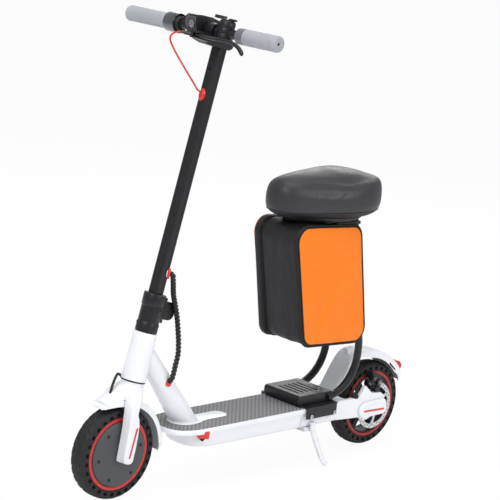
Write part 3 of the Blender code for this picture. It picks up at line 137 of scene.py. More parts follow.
def paint(name, first, second, rough, grain=900.0, bump=0.04, metal=0.0, coat=0.0, spread=0.06, specular=0.5):
    """Painted or moulded surface with faint mottling and a fine grain."""
    mat, tree, main = shader(name, rough, metal, coat, specular=specular)
    tint(tree, main, remap(tree, cloud(tree, 7.0), 0.3, 0.7), first, second)
    tree.links.new(remap(tree, cloud(tree, 40.0, 4.0), 0.3, 0.7, rough - spread, rough + spread),
                   main.inputs["Roughness"])
    relief(tree, main, cloud(tree, grain, 2.0), bump, 0.0004)
    mat.diffuse_color = (*first, 1.0)
    return mat


def hide(name, first, second, rough, cell=420.0, bump=0.5, specular=0.3):
    """Grained leather: small cells with creases between them."""
    mat, tree, main = shader(name, rough, specular=specular)
    cells = add(tree, "ShaderNodeTexVoronoi", {"Scale": cell}, feature="DISTANCE_TO_EDGE")
    tree.links.new(place(tree), cells.inputs["Vector"])
    crease = remap(tree, cells.outputs["Distance"], 0.0, 0.22)
    broad = cloud(tree, 26.0, 4.0)
    tint(tree, main, remap(tree, broad, 0.25, 0.75), first, second)
    tree.links.new(remap(tree, broad, 0.3, 0.7, rough - 0.05, rough + 0.07), main.inputs["Roughness"])
    folds = remap(tree, cloud(tree, 60.0, 3.0), 0.0, 1.0, 0.0, 1.2)
    relief(tree, main, combined(tree, "ADD", crease, folds), bump, 0.00035)
    mat.diffuse_color = (*first, 1.0)
    return mat


def studs(name, ground, top, pitch, rough):
    """Rubber sheet with staggered rows of small raised dots."""
    mat, tree, main = shader(name, rough, specular=0.3)
    split = add(tree, "ShaderNodeSeparateXYZ")
    tree.links.new(place(tree), split.inputs["Vector"])
    waves = []
    for axis in ("X", "Y"):
        turn = combined(tree, "MULTIPLY", split.outputs[axis], 2.0 * math.pi / pitch)
        waves.append(combined(tree, "SINE", turn, None))
    dots = remap(tree, combined(tree, "MULTIPLY", *waves), 0.15, 0.50)
    tint(tree, main, dots, ground, top)
    relief(tree, main, dots, 0.6, 0.0008)
    mat.diffuse_color = (*ground, 1.0)
    return mat


def lamp_mirror():
    mat, tree, main = shader("lamp_reflector", 0.18, 1.0)
    tint(tree, main, cloud(tree, 300.0, 2.0), (0.34, 0.35, 0.37), (0.24, 0.25, 0.27))
    relief(tree, main, cloud(tree, 700.0, 2.0), 0.5, 0.0008)
    return mat


def lamp_glass():
    mat, tree, main = shader("lamp_lens", 0.06)
    main.inputs["Transmission Weight"].default_value = 0.85
    main.inputs["IOR"].default_value = 1.35
    tint(tree, main, cloud(tree, 90.0, 2.0), (0.93, 0.95, 0.97), (0.86, 0.89, 0.92))
    return mat


M = {
    "white": paint("white_paint", (0.790, 0.800, 0.832), (0.785, 0.795, 0.828), 0.30, bump=0.002, coat=0.15,
                   spread=0.006, specular=0.4),
    "white_soft": paint("white_plastic", (0.775, 0.785, 0.818), (0.770, 0.780, 0.814), 0.42, bump=0.002,
                        spread=0.01),
    # painted shade: grey for the mudguards' inner sides, which lie in shade under them
    "guard_inner_shade": paint("grey_inner_painted_shade", (0.42, 0.43, 0.455), (0.40, 0.41, 0.435), 0.6, bump=0.01, specular=0.3),
    "black": paint("black_paint", (0.0085, 0.0085, 0.0100), (0.0120, 0.0120, 0.0140), 0.34, bump=0.02,
                   specular=0.35),
    "plastic": paint("black_plastic", (0.0100, 0.0100, 0.0115), (0.0150, 0.0150, 0.0165), 0.50, bump=0.08,
                     specular=0.35),
    "gloss": paint("black_gloss", (0.010, 0.010, 0.012), (0.014, 0.014, 0.016), 0.14, coat=0.6, bump=0.01,
                   spread=0.03),
    # painted shade: near-black put in holes, slots and slits to stand for the shade inside them
    "dull": paint("painted_shade_black", (0.0022, 0.0022, 0.0026), (0.0034, 0.0034, 0.0038), 0.90, specular=0.1),
    "motor": paint("grey_cast", (0.066, 0.068, 0.074), (0.056, 0.058, 0.064), 0.50, bump=0.06, specular=0.4),
    "red": paint("red_plastic", (0.66, 0.022, 0.018), (0.56, 0.016, 0.014), 0.33, coat=0.3),
    "red_ring": paint("red_band", (0.58, 0.028, 0.026), (0.48, 0.020, 0.020), 0.42),
    # painted shade: the rim band's red made darker for the rear wheel
    "red_shade": paint("red_shade", (0.380, 0.016, 0.018), (0.300, 0.012, 0.014), 0.45),
    "bolt": paint("zinc", (0.55, 0.55, 0.56), (0.45, 0.45, 0.46), 0.30, metal=1.0, bump=0.05),
    "steel": paint("rotor_steel", (0.62, 0.62, 0.64), (0.52, 0.52, 0.54), 0.30, metal=1.0, bump=0.03),
    "dark_bolt": paint("black_bolt", (0.030, 0.030, 0.033), (0.050, 0.050, 0.053), 0.38, metal=0.6),
    "leather": hide("black_leather", (0.0085, 0.0085, 0.0112), (0.0130, 0.0130, 0.0168), 0.50, specular=0.32),
    "saddle": hide("saddle_leather", (0.0290, 0.0285, 0.0320), (0.0340, 0.0335, 0.0370), 0.40, 560.0, 0.16,
                   0.34),
    "under": hide("saddle_under", (0.009, 0.009, 0.010), (0.012, 0.012, 0.0135), 0.60, 560.0, 0.3),
    "welt": hide("welt_leather", (0.005, 0.005, 0.006), (0.008, 0.008, 0.009), 0.50, 700.0, 0.2),
    "orange": hide("orange_leather", (0.90, 0.205, 0.0035), (0.86, 0.185, 0.0030), 0.50, 560.0, 0.12),
    "pack": paint("pack_wrap", (0.03, 0.11, 0.25), (0.02, 0.09, 0.21), 0.4),
    "rubber": paint("black_rubber", (0.0120, 0.0120, 0.0130), (0.0165, 0.0165, 0.0175), 0.60, 500.0, 0.15,
                    specular=0.3),
    "grip": paint("grip_rubber", (0.345, 0.355, 0.385), (0.315, 0.325, 0.355), 0.72, 700.0, 0.12),
    "smoke": paint("smoked_chrome", (0.17, 0.175, 0.19), (0.14, 0.145, 0.16), 0.20, metal=1.0, bump=0.01,
                   coat=0.5, spread=0.03),
    "mat": studs("mat_rubber", (0.160, 0.160, 0.165), (0.300, 0.300, 0.312), 0.0128, 0.75),
    "collar": paint("grey_collar", (0.150, 0.152, 0.165), (0.135, 0.137, 0.150), 0.45, specular=0.3),
    "reflector": lamp_mirror(),
    "lens": lamp_glass(),
}


# Outlines and curves

def clamped(t):
    return min(1.0, max(0.0, t))


def ease(t):
    t = clamped(t)
    return t * t * (3.0 - 2.0 * t)


def signed_power(value, power):
    return math.copysign(abs(value) ** power, value)


def circle(centre, first, second, count, radius, other=None):
    """Points of a circle, or of an ellipse with half axes along the two directions."""
    turns = [2.0 * math.pi * k / count for k in range(count)]
    other = radius if other is None else other
    return [centre + first * radius * math.cos(t) + second * other * math.sin(t) for t in turns]


def mirrored(rows):
    """Profile rows followed by their copies at the other side."""
    return rows + [(radius, -side) for radius, side in rows[::-1]]


def rounded(points, radius, steps=5):
    """Outline with its corners rounded; the radius may be given per corner."""
    radii = radius if isinstance(radius, (list, tuple)) else [radius] * len(points)
    result = []
    for i, point in enumerate(points):
        here = Vector(point)
        before = Vector(points[i - 1]) - here
        after = Vector(points[(i + 1) % len(points)]) - here
        if radii[i] <= 0.0:
            result.append((here.x, here.y))
            continue
        half = before.angle(after) / 2.0
        reach = min(radii[i] / math.tan(half), 0.49 * before.length, 0.49 * after.length)
        r = reach * math.tan(half)
        start = here + before.normalized() * reach
        end = here + after.normalized() * reach
        middle = here + (before.normalized() + after.normalized()).normalized() * (r / math.sin(half))
        for k in range(steps + 1):
            arm = (start - middle).lerp(end - middle, k / steps)
            if arm.length > 1e-9:
                arm = arm.normalized() * r
            result.append(((middle + arm).x, (middle + arm).y))
    return result


def curve(points, steps):
    """Smooth curve from the second point to the last but one, its end left out."""
    fine = []
    for p0, p1, p2, p3 in zip(points, points[1:], points[2:], points[3:]):
        for k in range(steps):
            t = k / steps
            fine.append(0.5 * (2.0 * p1 + (p2 - p0) * t + (2.0 * p0 - 5.0 * p1 + 4.0 * p2 - p3) * t * t
                               + (3.0 * p1 - p0 - 3.0 * p2 + p3) * t * t * t))
    return fine


def spread_evenly(fine, count):
    """Points at even steps along a line, its end left out."""
    lengths = [0.0]
    for a, b in zip(fine, fine[1:]):
        lengths.append(lengths[-1] + (b - a).length)
    result = []
    j = 0
    for k in range(count):
        want = lengths[-1] * k / count
        while lengths[j + 1] < want:
            j += 1
        result.append(fine[j].lerp(fine[j + 1], (want - lengths[j]) / max(1e-9, lengths[j + 1] - lengths[j])))
    return result


def smooth(points, spacing):
    """Even points on a smooth curve through the route points."""
    route = [Vector(p) for p in points]
    fine = curve([route[0] * 2.0 - route[1]] + route + [route[-1] * 2.0 - route[-2]], 40) + [route[-1]]
    total = sum((b - a).length for a, b in zip(fine, fine[1:]))
    return spread_evenly(fine, max(2, round(total / spacing))) + [route[-1]]


def direction(path, i):
    """Way of the path at one of its points."""
    return (path[min(i + 1, len(path) - 1)] - path[max(i - 1, 0)]).normalized()


def frames(path):
    """Points of a path with steady side and up directions."""
    result = []
    side = direction(path, 0).orthogonal()
    for i, point in enumerate(path):
        along = direction(path, i)
        side = (side - along * side.dot(along)).normalized()
        result.append((point, side, along.cross(side)))
    return result


# Meshes under construction

def skin(loops, around=False, caps=True):
    bm = bmesh.new()
    rings = [[bm.verts.new(point) for point in loop] for loop in loops]
    total = len(rings)
    for i in range(total if around else total - 1):
        first = rings[i]
        second = rings[(i + 1) % total]
        for j in range(len(first)):
            k = (j + 1) % len(first)
            bm.faces.new((first[j], first[k], second[k], second[j]))
    if not around and caps:
        bm.faces.new(rings[0])
        bm.faces.new(rings[-1])
    bmesh.ops.recalc_face_normals(bm, faces=bm.faces)
    return bm


def merged(*parts):
    whole = bmesh.new()
    for part in parts:
        mesh = bpy.data.meshes.new("piece")
        part.to_mesh(mesh)
        part.free()
        whole.from_mesh(mesh)
        bpy.data.meshes.remove(mesh)
    return whole


def turned_to(axis, along, u, v):
    """Point with one coordinate along the axis and two across it."""
    return Vector({"X": (along, u, v), "Y": (u, along, v), "Z": (u, v, along)}[axis])


def spun(profile, axis="Y", centre=(0, 0, 0), count=64, closed=False):
    """Turned body from (radius, height) rows; closed makes a ring of that section."""
    base = Vector(centre)
    turns = [2.0 * math.pi * i / count for i in range(count)]
    loops = []
    for r, height in profile:
        loops.append([base + turned_to(axis, height, r * math.cos(t), r * math.sin(t)) for t in turns])
    if closed:
        return skin(list(zip(*loops)), around=True)
    return skin(loops)


def slab(outline, low, high, axis="Y"):
    return skin([[turned_to(axis, along, u, v) for u, v in outline] for along in (low, high)])


def block(x0, x1, y0, y1, z0, z1):
    return slab([(x0, z0), (x1, z0), (x1, z1), (x0, z1)], y0, y1)


def rod(radius, start, end, count=16, radius_end=None):
    a = Vector(start)
    b = Vector(end)
    along = (b - a).normalized()
    side = along.orthogonal().normalized()
    up = along.cross(side)
    return skin([circle(a, side, up, count, radius), circle(b, side, up, count, radius_end or radius)])


def pipe(path, radius, count=16):
    """Tube along a path."""
    return skin([circle(point, side, up, count, radius) for point, side, up in frames(path)])


def bolt(centre, outward, radius, tall, count=20, socket=0.45):
    """Round screw head with a hexagonal socket, its base at the centre."""
    out = Vector(outward).normalized()
    side = out.orthogonal().normalized()
    up = out.cross(side)
    rows = ((1.0, 0.0), (1.0, 0.62), (0.80, 1.0), (socket, 1.0), (socket, 0.35), (0.0001, 0.30))
    centre = Vector(centre)
    return skin([circle(centre + out * tall * h, side, up, count, radius * share) for share, h in rows])


# Finished pieces

def fresh(name, bm, matrix=WORLD):
    """Plain object from a mesh that is given in the space of the matrix."""
    mesh = bpy.data.meshes.new(name)
    bmesh.ops.recalc_face_normals(bm, faces=bm.faces)
    bm.to_mesh(mesh)
    bm.free()
    mesh.transform(matrix)
    obj = bpy.data.objects.new(name, mesh)
    bpy.context.scene.collection.objects.link(obj)
    return obj


def coated(obj, keys, sharp=180.0):
    """Materials and smooth shading up to an angle."""
    for key in keys:
        obj.data.materials.append(M[key])
    obj.data.shade_smooth()
    if sharp < 180.0:
        obj.data.set_sharp_from_angle(angle=math.radians(sharp))


def bevelled(obj, width, segments=2, angle=35.0):
    step = obj.modifiers.new("edges", "BEVEL")
    step.width = width
    step.segments = segments
    step.limit_method = "ANGLE"
    step.angle_limit = math.radians(angle)


def declare(obj, body, replaces=()):
    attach(obj, body)
    if replaces:
        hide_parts(*replaces)


def put(name, bm, mats, body, matrix=WORLD, replaces=(), sharp=35.0, bevel=0.0, segments=2, angle=35.0):
    """Finished piece; mats is one key of the materials or a tuple of them."""
    obj = fresh(name, bm, matrix)
    coated(obj, (mats,) if isinstance(mats, str) else mats, sharp)
    if bevel > 0.0:
        bevelled(obj, bevel, segments, angle)
    declare(obj, body, replaces)
    return obj


def settled(obj):
    """Bakes the object's modifiers into its mesh."""
    graph = bpy.context.evaluated_depsgraph_get()
    mesh = bpy.data.meshes.new_from_object(obj.evaluated_get(graph))
    old = obj.data
    obj.modifiers.clear()
    obj.data = mesh
    bpy.data.meshes.remove(old)


def cut(obj, *cutters, matrix=WORLD):
    """Takes the cutters' volumes out of the object."""
    for cutter in cutters:
        tool = fresh(obj.name + "_tool", cutter, matrix)
        step = obj.modifiers.new("cut", "BOOLEAN")
        step.operation = "DIFFERENCE"
        step.solver = "EXACT"
        step.object = tool
        settled(obj)
        bpy.data.objects.remove(tool, do_unlink=True)


# Camera, floor and light

lens = bpy.data.cameras.new("camera")
lens.sensor_width = 36.0
lens.lens = 144.13
lens.shift_x = -0.00274
lens.shift_y = -0.00322
lens.clip_end = 100.0
camera = bpy.data.objects.new("camera", lens)
bpy.context.scene.collection.objects.link(camera)
CAMERA_AT = Vector((3.3102, 3.1638, 1.5380))
CAMERA_TURN = Euler([math.radians(angle) for angle in (77.5974, -5.7410, 135.3928)])
camera.matrix_world = Matrix.LocRotScale(CAMERA_AT, CAMERA_TURN, None)
bpy.context.scene.camera = camera
bpy.context.scene.view_settings.view_transform = "Standard"


def lamp(name, at, target, size, power):
    """Square area light that faces the target."""
    data = bpy.data.lights.new(name, "AREA")
    data.shape = "RECTANGLE"
    data.size = size
    data.size_y = size
    data.energy = power
    obj = bpy.data.objects.new(name, data)
    bpy.context.scene.collection.objects.link(obj)
    obj.location = at
    obj.rotation_euler = (Vector(target) - Vector(at)).to_track_quat("-Z", "Y").to_euler()


lamp("key", (2.6, 0.6, 3.0), (0.0, 0.0, 0.5), 1.6, 60.0)
lamp("side", (-0.6, 3.4, 2.2), (0.0, 0.0, 0.5), 1.8, 46.0)
lamp("top", (0.0, 0.2, 3.6), (0.0, 0.0, 0.4), 2.2, 36.0)
lamp("back", (-2.6, -2.2, 2.2), (0.0, 0.0, 0.5), 1.6, 26.0)


def mixed(tree, share, first, second, target):
    """Two shaders blended by the share, led to the target."""
    node = add(tree, "ShaderNodeMixShader")
    for source, socket in zip((share, first, second), node.inputs):
        tree.links.new(source, socket)
    tree.links.new(node.outputs["Shader"], target.inputs["Surface"])


world = bpy.data.worlds.new("world")
bpy.context.scene.world = world
world.use_nodes = True
sky = world.node_tree
sky.nodes.clear()
lit = add(sky, "ShaderNodeBackground", {"Color": (0.97, 0.985, 1.0, 1.0), "Strength": 0.55})
seen = add(sky, "ShaderNodeBackground", {"Color": (1.0, 1.0, 1.0, 1.0), "Strength": 1.0})
sky_rays = add(sky, "ShaderNodeLightPath")
mixed(sky, sky_rays.outputs["Is Camera Ray"], lit.outputs["Background"], seen.outputs["Background"],
      add(sky, "ShaderNodeOutputWorld"))

ground, ground_tree, ground_main = shader("floor_paper", 0.85, specular=0.2)
tint(ground_tree, ground_main, cloud(ground_tree, 3.0), (0.93, 0.93, 0.935), (0.955, 0.955, 0.96))
glow = add(ground_tree, "ShaderNodeEmission", {"Color": (1.0, 1.0, 1.0, 1.0)})
ground_rays = add(ground_tree, "ShaderNodeLightPath")
glow_share = remap(ground_tree, ground_rays.outputs["Is Camera Ray"], 0.0, 1.0, 0.0, 0.93)
mixed(ground_tree, glow_share, ground_main.outputs["BSDF"], glow.outputs["Emission"],
      ground_tree.nodes["Material Output"])
floor_mesh = bpy.data.meshes.new("floor")
floor_mesh.from_pydata([(-12, -12, 0), (12, -12, 0), (12, 12, 0), (-12, 12, 0)], [], [(0, 1, 2, 3)])
floor_mesh.materials.append(ground)
floor = bpy.data.objects.new("floor", floor_mesh)
bpy.context.scene.collection.objects.link(floor)
floor.location.z = -0.0002


# Materials of the solids

SOLIDS = {
    "white": ["deck_shell", "neck", "rear_yoke", "axle_cover_left", "axle_cover_right", "kickstand",
              "kickstand_mount", "fork", "fork_cover_left", "fork_cover_right", "front_mudguard",
              "rear_mudguard"],
    "black": ["seat_clamp", "clamp_box", "seat_tube_left", "seat_tube_right", "fold_block", "fold_lever",
              "stem_tube", "handlebar", "brake_perch", "brake_lever", "brake_caliper", "caliper_arm",
              "rear_rim"],
    "motor": ["hub_motor"],
    "collar": ["grip_collar"],
    "steel": ["brake_rotor"],
    "red": ["charge_port_cover", "stem_gland_upper", "stem_gland_lower", "neck_gland", "brake_cable",
            "tail_light"],
    "red_ring": ["front_rim_ring"],
    "plastic": ["deck_bottom_cover", "saddle_pan", "stem_head", "throttle_lever", "bell",
                "bell_lever", "loom", "motor_cable", "power_button"],
    "gloss": ["display_cover", "throttle_housing", "headlight"],
    "rubber": ["front_tyre", "rear_tyre", "grip_left", "grip_right"],
    "mat": ["deck_mat"],
    "pack": ["battery_pack"],
    "leather": ["bag_body", "bag_lid", "saddle_cushion"],
    "orange": ["bag_panel_left", "bag_panel_right"],
}
for key, names in SOLIDS.items():
    for name in names:
        NODES[name].data.materials.clear()
        NODES[name].data.materials.append(M[key])


# Tyres, rims and hubs

RIM_R = 0.0853
TYRE_HALF = 0.0230
CUT_DEPTH = 0.0016
TREAD_STEPS = 224
TREAD_BLOCKS = 28


def tyre_rows():
    """Outside of the tyre as (radius, side, share of the tread depth)."""
    wall = [(RIM_R + 0.0003, -0.0180, 0.0), (RIM_R + 0.0012, -0.0212, 0.0), (RIM_R + 0.0040, -0.0228, 0.0),
            (RIM_R + 0.0090, -TYRE_HALF, 0.0), (RIM_R + 0.0125, -0.0229, 0.0),
            (TYRE_R - 0.0088, -0.0222, 0.0), (TYRE_R - 0.0060, -0.0205, 0.25),
            (TYRE_R - 0.0035, -0.0182, 0.8)]
    crown = []
    for k in range(15):
        side = -0.0160 + 0.0320 * k / 14
        crown.append((TYRE_R - 0.00005 - 0.0022 * (abs(side) / 0.0160) ** 2.6, side, 1.0))
    return wall + crown + [(r, -side, share) for r, side, share in wall[::-1]]


def cut_in_tread(step, side):
    """Slanted sipes in the two shoulders, a wavy line each side of the middle."""
    turn = step * TREAD_BLOCKS / TREAD_STEPS
    slant = (turn + 34.0 * abs(side) + (0.5 if side < 0 else 0.0)) % 1.0
    past_wave = abs(side) - 0.0052 - 0.0011 * math.sin(2.0 * math.pi * turn)
    return abs(past_wave) < 0.0013 or (past_wave > 0.0 and slant < 0.26)


def pit(angle, side, half_length, half_height, high):
    """Rounded plug in the side of the tyre."""
    radial = Vector((math.cos(angle), 0.0, math.sin(angle)))
    tangent = Vector((-math.sin(angle), 0.0, math.cos(angle)))
    loops = []
    for h in (0.0200, high):
        centre = radial * (RIM_R + 0.0082) + ACROSS * side * h
        loop = []
        for k in range(14):
            t = 2.0 * math.pi * k / 14
            loop.append(centre + tangent * half_length * signed_power(math.cos(t), 0.7)
                        + radial * half_height * signed_power(math.sin(t), 0.7))
        loops.append(loop)
    return skin(loops)


def tyre(name, matrix, body, node):
    rows = tyre_rows()
    loops = []
    for i in range(TREAD_STEPS):
        angle = 2.0 * math.pi * i / TREAD_STEPS
        loop = []
        for radius, side, share in rows:
            r = radius - CUT_DEPTH * share * cut_in_tread(i, side)
            loop.append(Vector((r * math.cos(angle), side, r * math.sin(angle))))
        loops.append(loop)
    put(name, skin(loops, around=True), "rubber", body, matrix, (node,), sharp=40)
    spots = [(2.0 * math.pi * (i + 0.5) / TREAD_BLOCKS, side) for i in range(TREAD_BLOCKS) for side in SIDES]
    # Dark plugs of painted shade stand for the holes in the tyre's sides; rubber lips ring them
    pits = merged(*[pit(*spot, 0.0052, 0.0041, 0.02315) for spot in spots])
    put(name + "_pits", pits, "dull", body, matrix)
    lips = merged(*[pit(*spot, 0.0059, 0.0048, 0.02306) for spot in spots])
    put(name + "_pit_lips", lips, "rubber", body, matrix)


tyre("tyre_front", FRONT_WHEEL, "front_wheel", "front_tyre")
tyre("tyre_rear", REAR_WHEEL, "rear_wheel", "rear_tyre")

MOTOR_FACE = 0.0265
RING_IN = 0.0768
SCREW_CIRCLE = 0.0610
case_rows = [(0.0050, -0.0400), (0.0050, -MOTOR_FACE - 0.0022), (0.0150, -MOTOR_FACE - 0.0022),
             (0.0235, -MOTOR_FACE - 0.0016), (0.0260, -MOTOR_FACE - 0.0002), (0.0560, -MOTOR_FACE),
             (0.0690, -MOTOR_FACE + 0.0008), (0.0735, -MOTOR_FACE + 0.0024),
             (RING_IN - 0.0014, -MOTOR_FACE + 0.0034), (RING_IN - 0.0006, -MOTOR_FACE + 0.0052),
             (RING_IN - 0.0006, 0.0)]
put("motor_case", spun(mirrored(case_rows), count=112), "motor", "front_wheel", FRONT_WHEEL,
    ("hub_motor",), sharp=22)
ring_rows = [(RING_IN, -0.0196), (RING_IN + 0.0008, -0.0208), (RIM_R - 0.0012, -0.0212),
             (RIM_R - 0.0001, -0.0202), (RIM_R, -0.0180)]
ring = spun(mirrored(ring_rows), count=112, closed=True)
put("rim_ring_front", ring, "red_ring", "front_wheel", FRONT_WHEEL, ("front_rim_ring",),
    sharp=40)
screws = []
wells = []
for side in SIDES:
    for degrees in (51, -6, -65, -128, 167, 109):
        angle = math.radians(degrees)
        at = SCREW_CIRCLE * Vector((math.cos(angle), 0.0, math.sin(angle)))
        at.y = side * (MOTOR_FACE - 0.0004)
        screws.append(bolt(at, (0, side, 0), 0.0031, 0.0016, 18, 0.5))
        wells.append(rod(0.0038, at, at + Vector((0, side * 0.0006, 0)), 20))
put("motor_screws", merged(*screws), "dark_bolt", "front_wheel", FRONT_WHEEL)
# The dark rings round the screws are painted shade in their wells
put("motor_screw_wells", merged(*wells), "dull", "front_wheel", FRONT_WHEEL)

RIM_IN = 0.0730
SPOKES = 6
SPOKE_HALF = 0.0090
SPOKE_ROWS = [(0.0150, -0.0092), (0.0300, -0.0088), (0.0560, -0.0062), (RIM_IN + 0.0035, -0.0078)]
rim_rows = [(RIM_IN + 0.0022, -0.0120), (RIM_IN, -0.0195), (RIM_IN + 0.0010, -0.0208),
            (RIM_R - 0.0088, -0.0209), (RIM_R - 0.0080, -0.0198), (RIM_R - 0.0070, -0.0196), (RIM_R, -0.0196)]
hub_rows = [(0.0050, -0.0615), (0.0050, -0.0400), (0.0130, -0.0400), (0.0140, -0.0240), (0.0240, -0.0110),
            (0.0240, 0.0110), (0.0155, 0.0240), (0.0155, 0.0375), (0.0110, 0.0405), (0.0050, 0.0405),
            (0.0050, 0.0615)]
parts = [spun(mirrored(rim_rows), count=112, closed=True), spun(hub_rows, count=40)]
for i in range(SPOKES):
    turn = Matrix.Rotation(2.0 * math.pi * i / SPOKES, 2)
    parts.append(slab([turn @ Vector(point) for point in mirrored(SPOKE_ROWS)], -SPOKE_HALF, SPOKE_HALF))
put("rim_rear", merged(*parts), "plastic", "rear_wheel", REAR_WHEEL, ("rear_rim",), sharp=30,
    bevel=0.0010, angle=50)
# The rear bands are the front ring's red painted darker, as shade on the rear wheel
band_rows = [(RIM_R - 0.0078, 0.0190), (RIM_R - 0.0078, 0.0214), (RIM_R - 0.0066, 0.0221),
             (RIM_R - 0.0012, 0.0221), (RIM_R - 0.0001, 0.0212), (RIM_R - 0.0001, 0.0190)]
bands = [spun([(r, side * h) for r, h in band_rows], count=112, closed=True) for side in SIDES]
put("rim_bands_rear", merged(*bands), "red_shade", "rear_wheel", REAR_WHEEL, sharp=40)

# Rotor: a braking ring, leaning arms and a centre, with rows of cut slots shown as dark pits of painted shade

ROTOR_Y = 0.037
ROTOR_HALF = 0.0010
ROTOR_ARMS = 6
ROTOR_PITS = 36
ROTOR_LEAN = 0.20


def washer(inner, outer, count):
    near = ROTOR_Y - ROTOR_HALF
    far = ROTOR_Y + ROTOR_HALF
    return spun([(inner, near), (outer, near), (outer, far), (inner, far)], count=count, closed=True)


def rotor_arm(base):
    near_side = []
    far_side = []
    for r, lean, half in ((0.0255, -ROTOR_LEAN, 0.0050), (0.0370, -0.4 * ROTOR_LEAN, 0.0036),
                          (0.0495, 0.3 * ROTOR_LEAN, 0.0052)):
        out = Vector((math.cos(base + lean), math.sin(base + lean)))
        near_side.append(out * r + Vector((out.y, -out.x)) * half)
        far_side.append(out * r - Vector((out.y, -out.x)) * half)
    return slab(near_side + far_side[::-1], ROTOR_Y - ROTOR_HALF, ROTOR_Y + ROTOR_HALF)


def on_rotor(radius, share, y):
    """Place at a share of a full turn."""
    return Vector((radius * math.cos(2.0 * math.pi * share), y, radius * math.sin(2.0 * math.pi * share)))


arms = [rotor_arm(2.0 * math.pi * (i + 0.5) / ROTOR_ARMS) for i in range(ROTOR_ARMS)]
plate = merged(washer(0.0485, 0.0600, 112), washer(0.0160, 0.0265, 64), *arms)
put("rotor_plate", plate, "steel", "rear_wheel", REAR_WHEEL, ("brake_rotor",), sharp=30)
# The dark pits are painted shade in the slots
pits = []
for i in range(ROTOR_PITS):
    for side in SIDES:
        start = on_rotor(0.0520 if i % 2 else 0.0563, i / ROTOR_PITS, ROTOR_Y + side * 0.0002)
        pits.append(rod(0.0017, start, start + Vector((0.0, side * 0.0009, 0.0)), 12))
put("rotor_pits", merged(*pits), "dull", "rear_wheel", REAR_WHEEL)
bolts = [bolt(on_rotor(0.0215, i / ROTOR_ARMS, ROTOR_Y + ROTOR_HALF), (0, 1, 0), 0.0030, 0.0016, 18)
         for i in range(ROTOR_ARMS)]
put("rotor_bolts", merged(*bolts), "bolt", "rear_wheel", REAR_WHEEL)


# Red stripes of fork and yoke

STRIPE_WIDTH = 0.0050
STRIPE_THICK = 0.0008


def stripe(name, middle, along, length, side, body, matrix):
    """Thin strip with round ends that lies on a side of the scooter."""
    out = ACROSS * side
    run = Vector(along).normalized()
    across = out.cross(run)
    loops = []
    for h, inset in ((0.0, 0.0), (STRIPE_THICK * 0.6, 0.0), (STRIPE_THICK, 0.0003)):
        loop = []
        for k in range(24):
            t = 2.0 * math.pi * k / 24
            half = 0.5 * STRIPE_WIDTH - inset
            end = 0.0
            if abs(math.cos(t)) > 1e-6:
                end = math.copysign(0.5 * (length - STRIPE_WIDTH), math.cos(t))
            loop.append(middle + out * h + run * (end + half * math.cos(t)) + across * half * math.sin(t))
        loops.append(loop)
    put(name, skin(loops), "red", body, matrix)


stripe_low = STEER_IN @ Vector((0.4367 + SHIFT, 0.0, 0.1071))
stripe_high = STEER_IN @ Vector((0.4199 + SHIFT, 0.0, 0.1766))
stripe_way = stripe_high - stripe_low
for side, tag in TAGS:
    stripe("fork_stripe_" + tag, (stripe_low + stripe_high) * 0.5 + ACROSS * side * 0.0564, stripe_way,
           stripe_way.length, side, "steering", STEER)
    stripe("yoke_stripe_" + tag, Vector((-0.3605, side * 0.0729, 0.1110)), (1.0, 0.0, 0.030), 0.0750, side,
           "chassis", WORLD)

bearing_rows = [(0.0165, 0.1634), (0.0276, 0.1634), (0.0284, 0.1641), (0.0284, 0.1651), (0.0276, 0.1658),
                (0.0165, 0.1658)]
put("head_bearing", spun(bearing_rows, "Z", closed=True), "rubber", "chassis", STEER)


# Loom with a spiral wrap

LOOM_R = 0.0063
LOOM_PITCH = 0.0088
LOOM_STEP = 0.0006
STEM_HALF = 0.0139
STEM_ROUND = 0.0065
CORNER = STEM_HALF - STEM_ROUND * (1.0 - math.sqrt(0.5))
GLAND_Z = 0.4160
NECK_PLUG = Vector((0.3080, 0.0222, 0.2561))
neck_way = Vector((-0.10, 0.55, 0.83)).normalized()
low_way = Vector((-math.cos(LEAN), 1.0, -math.sin(LEAN))).normalized()
loom_start = WORLD.inverted() @ STEER @ Vector((-CORNER, CORNER, GLAND_Z)) + low_way * 0.0035
loom_end = NECK_PLUG + neck_way * 0.0055
loom_path = smooth([loom_start, loom_start + low_way * 0.0060, (0.3190, 0.0200, 0.4950),
                    (0.3076, 0.0130, 0.4614), (0.2958, 0.0105, 0.4325), (0.2879, 0.0115, 0.4042),
                    (0.2841, 0.0140, 0.3764), (0.2828, 0.0180, 0.3491), (0.2856, 0.0230, 0.3226),
                    (0.2950, 0.0275, 0.2970), loom_end + neck_way * 0.0140, loom_end], LOOM_STEP)
loom_frames = frames(loom_path)


def loom_piece(name, first, stop):
    """Stretch of the wrapped tube; the wrap's gap runs round as it advances."""
    loops = []
    for i in range(first, stop + 1):
        point, side, up = loom_frames[i]
        loop = []
        for k in range(18):
            angle = 2.0 * math.pi * k / 18
            phase = (i * LOOM_STEP / LOOM_PITCH + k / 18) % 1.0
            gap = max(0.0, 1.0 - abs(phase - 0.5) / 0.20)
            r = LOOM_R * (1.0 - 0.32 * min(1.0, gap * 1.8))
            loop.append(point + side * r * math.cos(angle) + up * r * math.sin(angle))
        loops.append(loop)
    obj = fresh(name, skin(loops))
    coated(obj, ("plastic",))
    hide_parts("loom")
    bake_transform(obj)


last = len(loom_path) - 1
half_way = last // 2
loom_piece("loom_upper", 0, half_way + 1)
loom_piece("loom_lower", half_way, last)


# Glands and cables

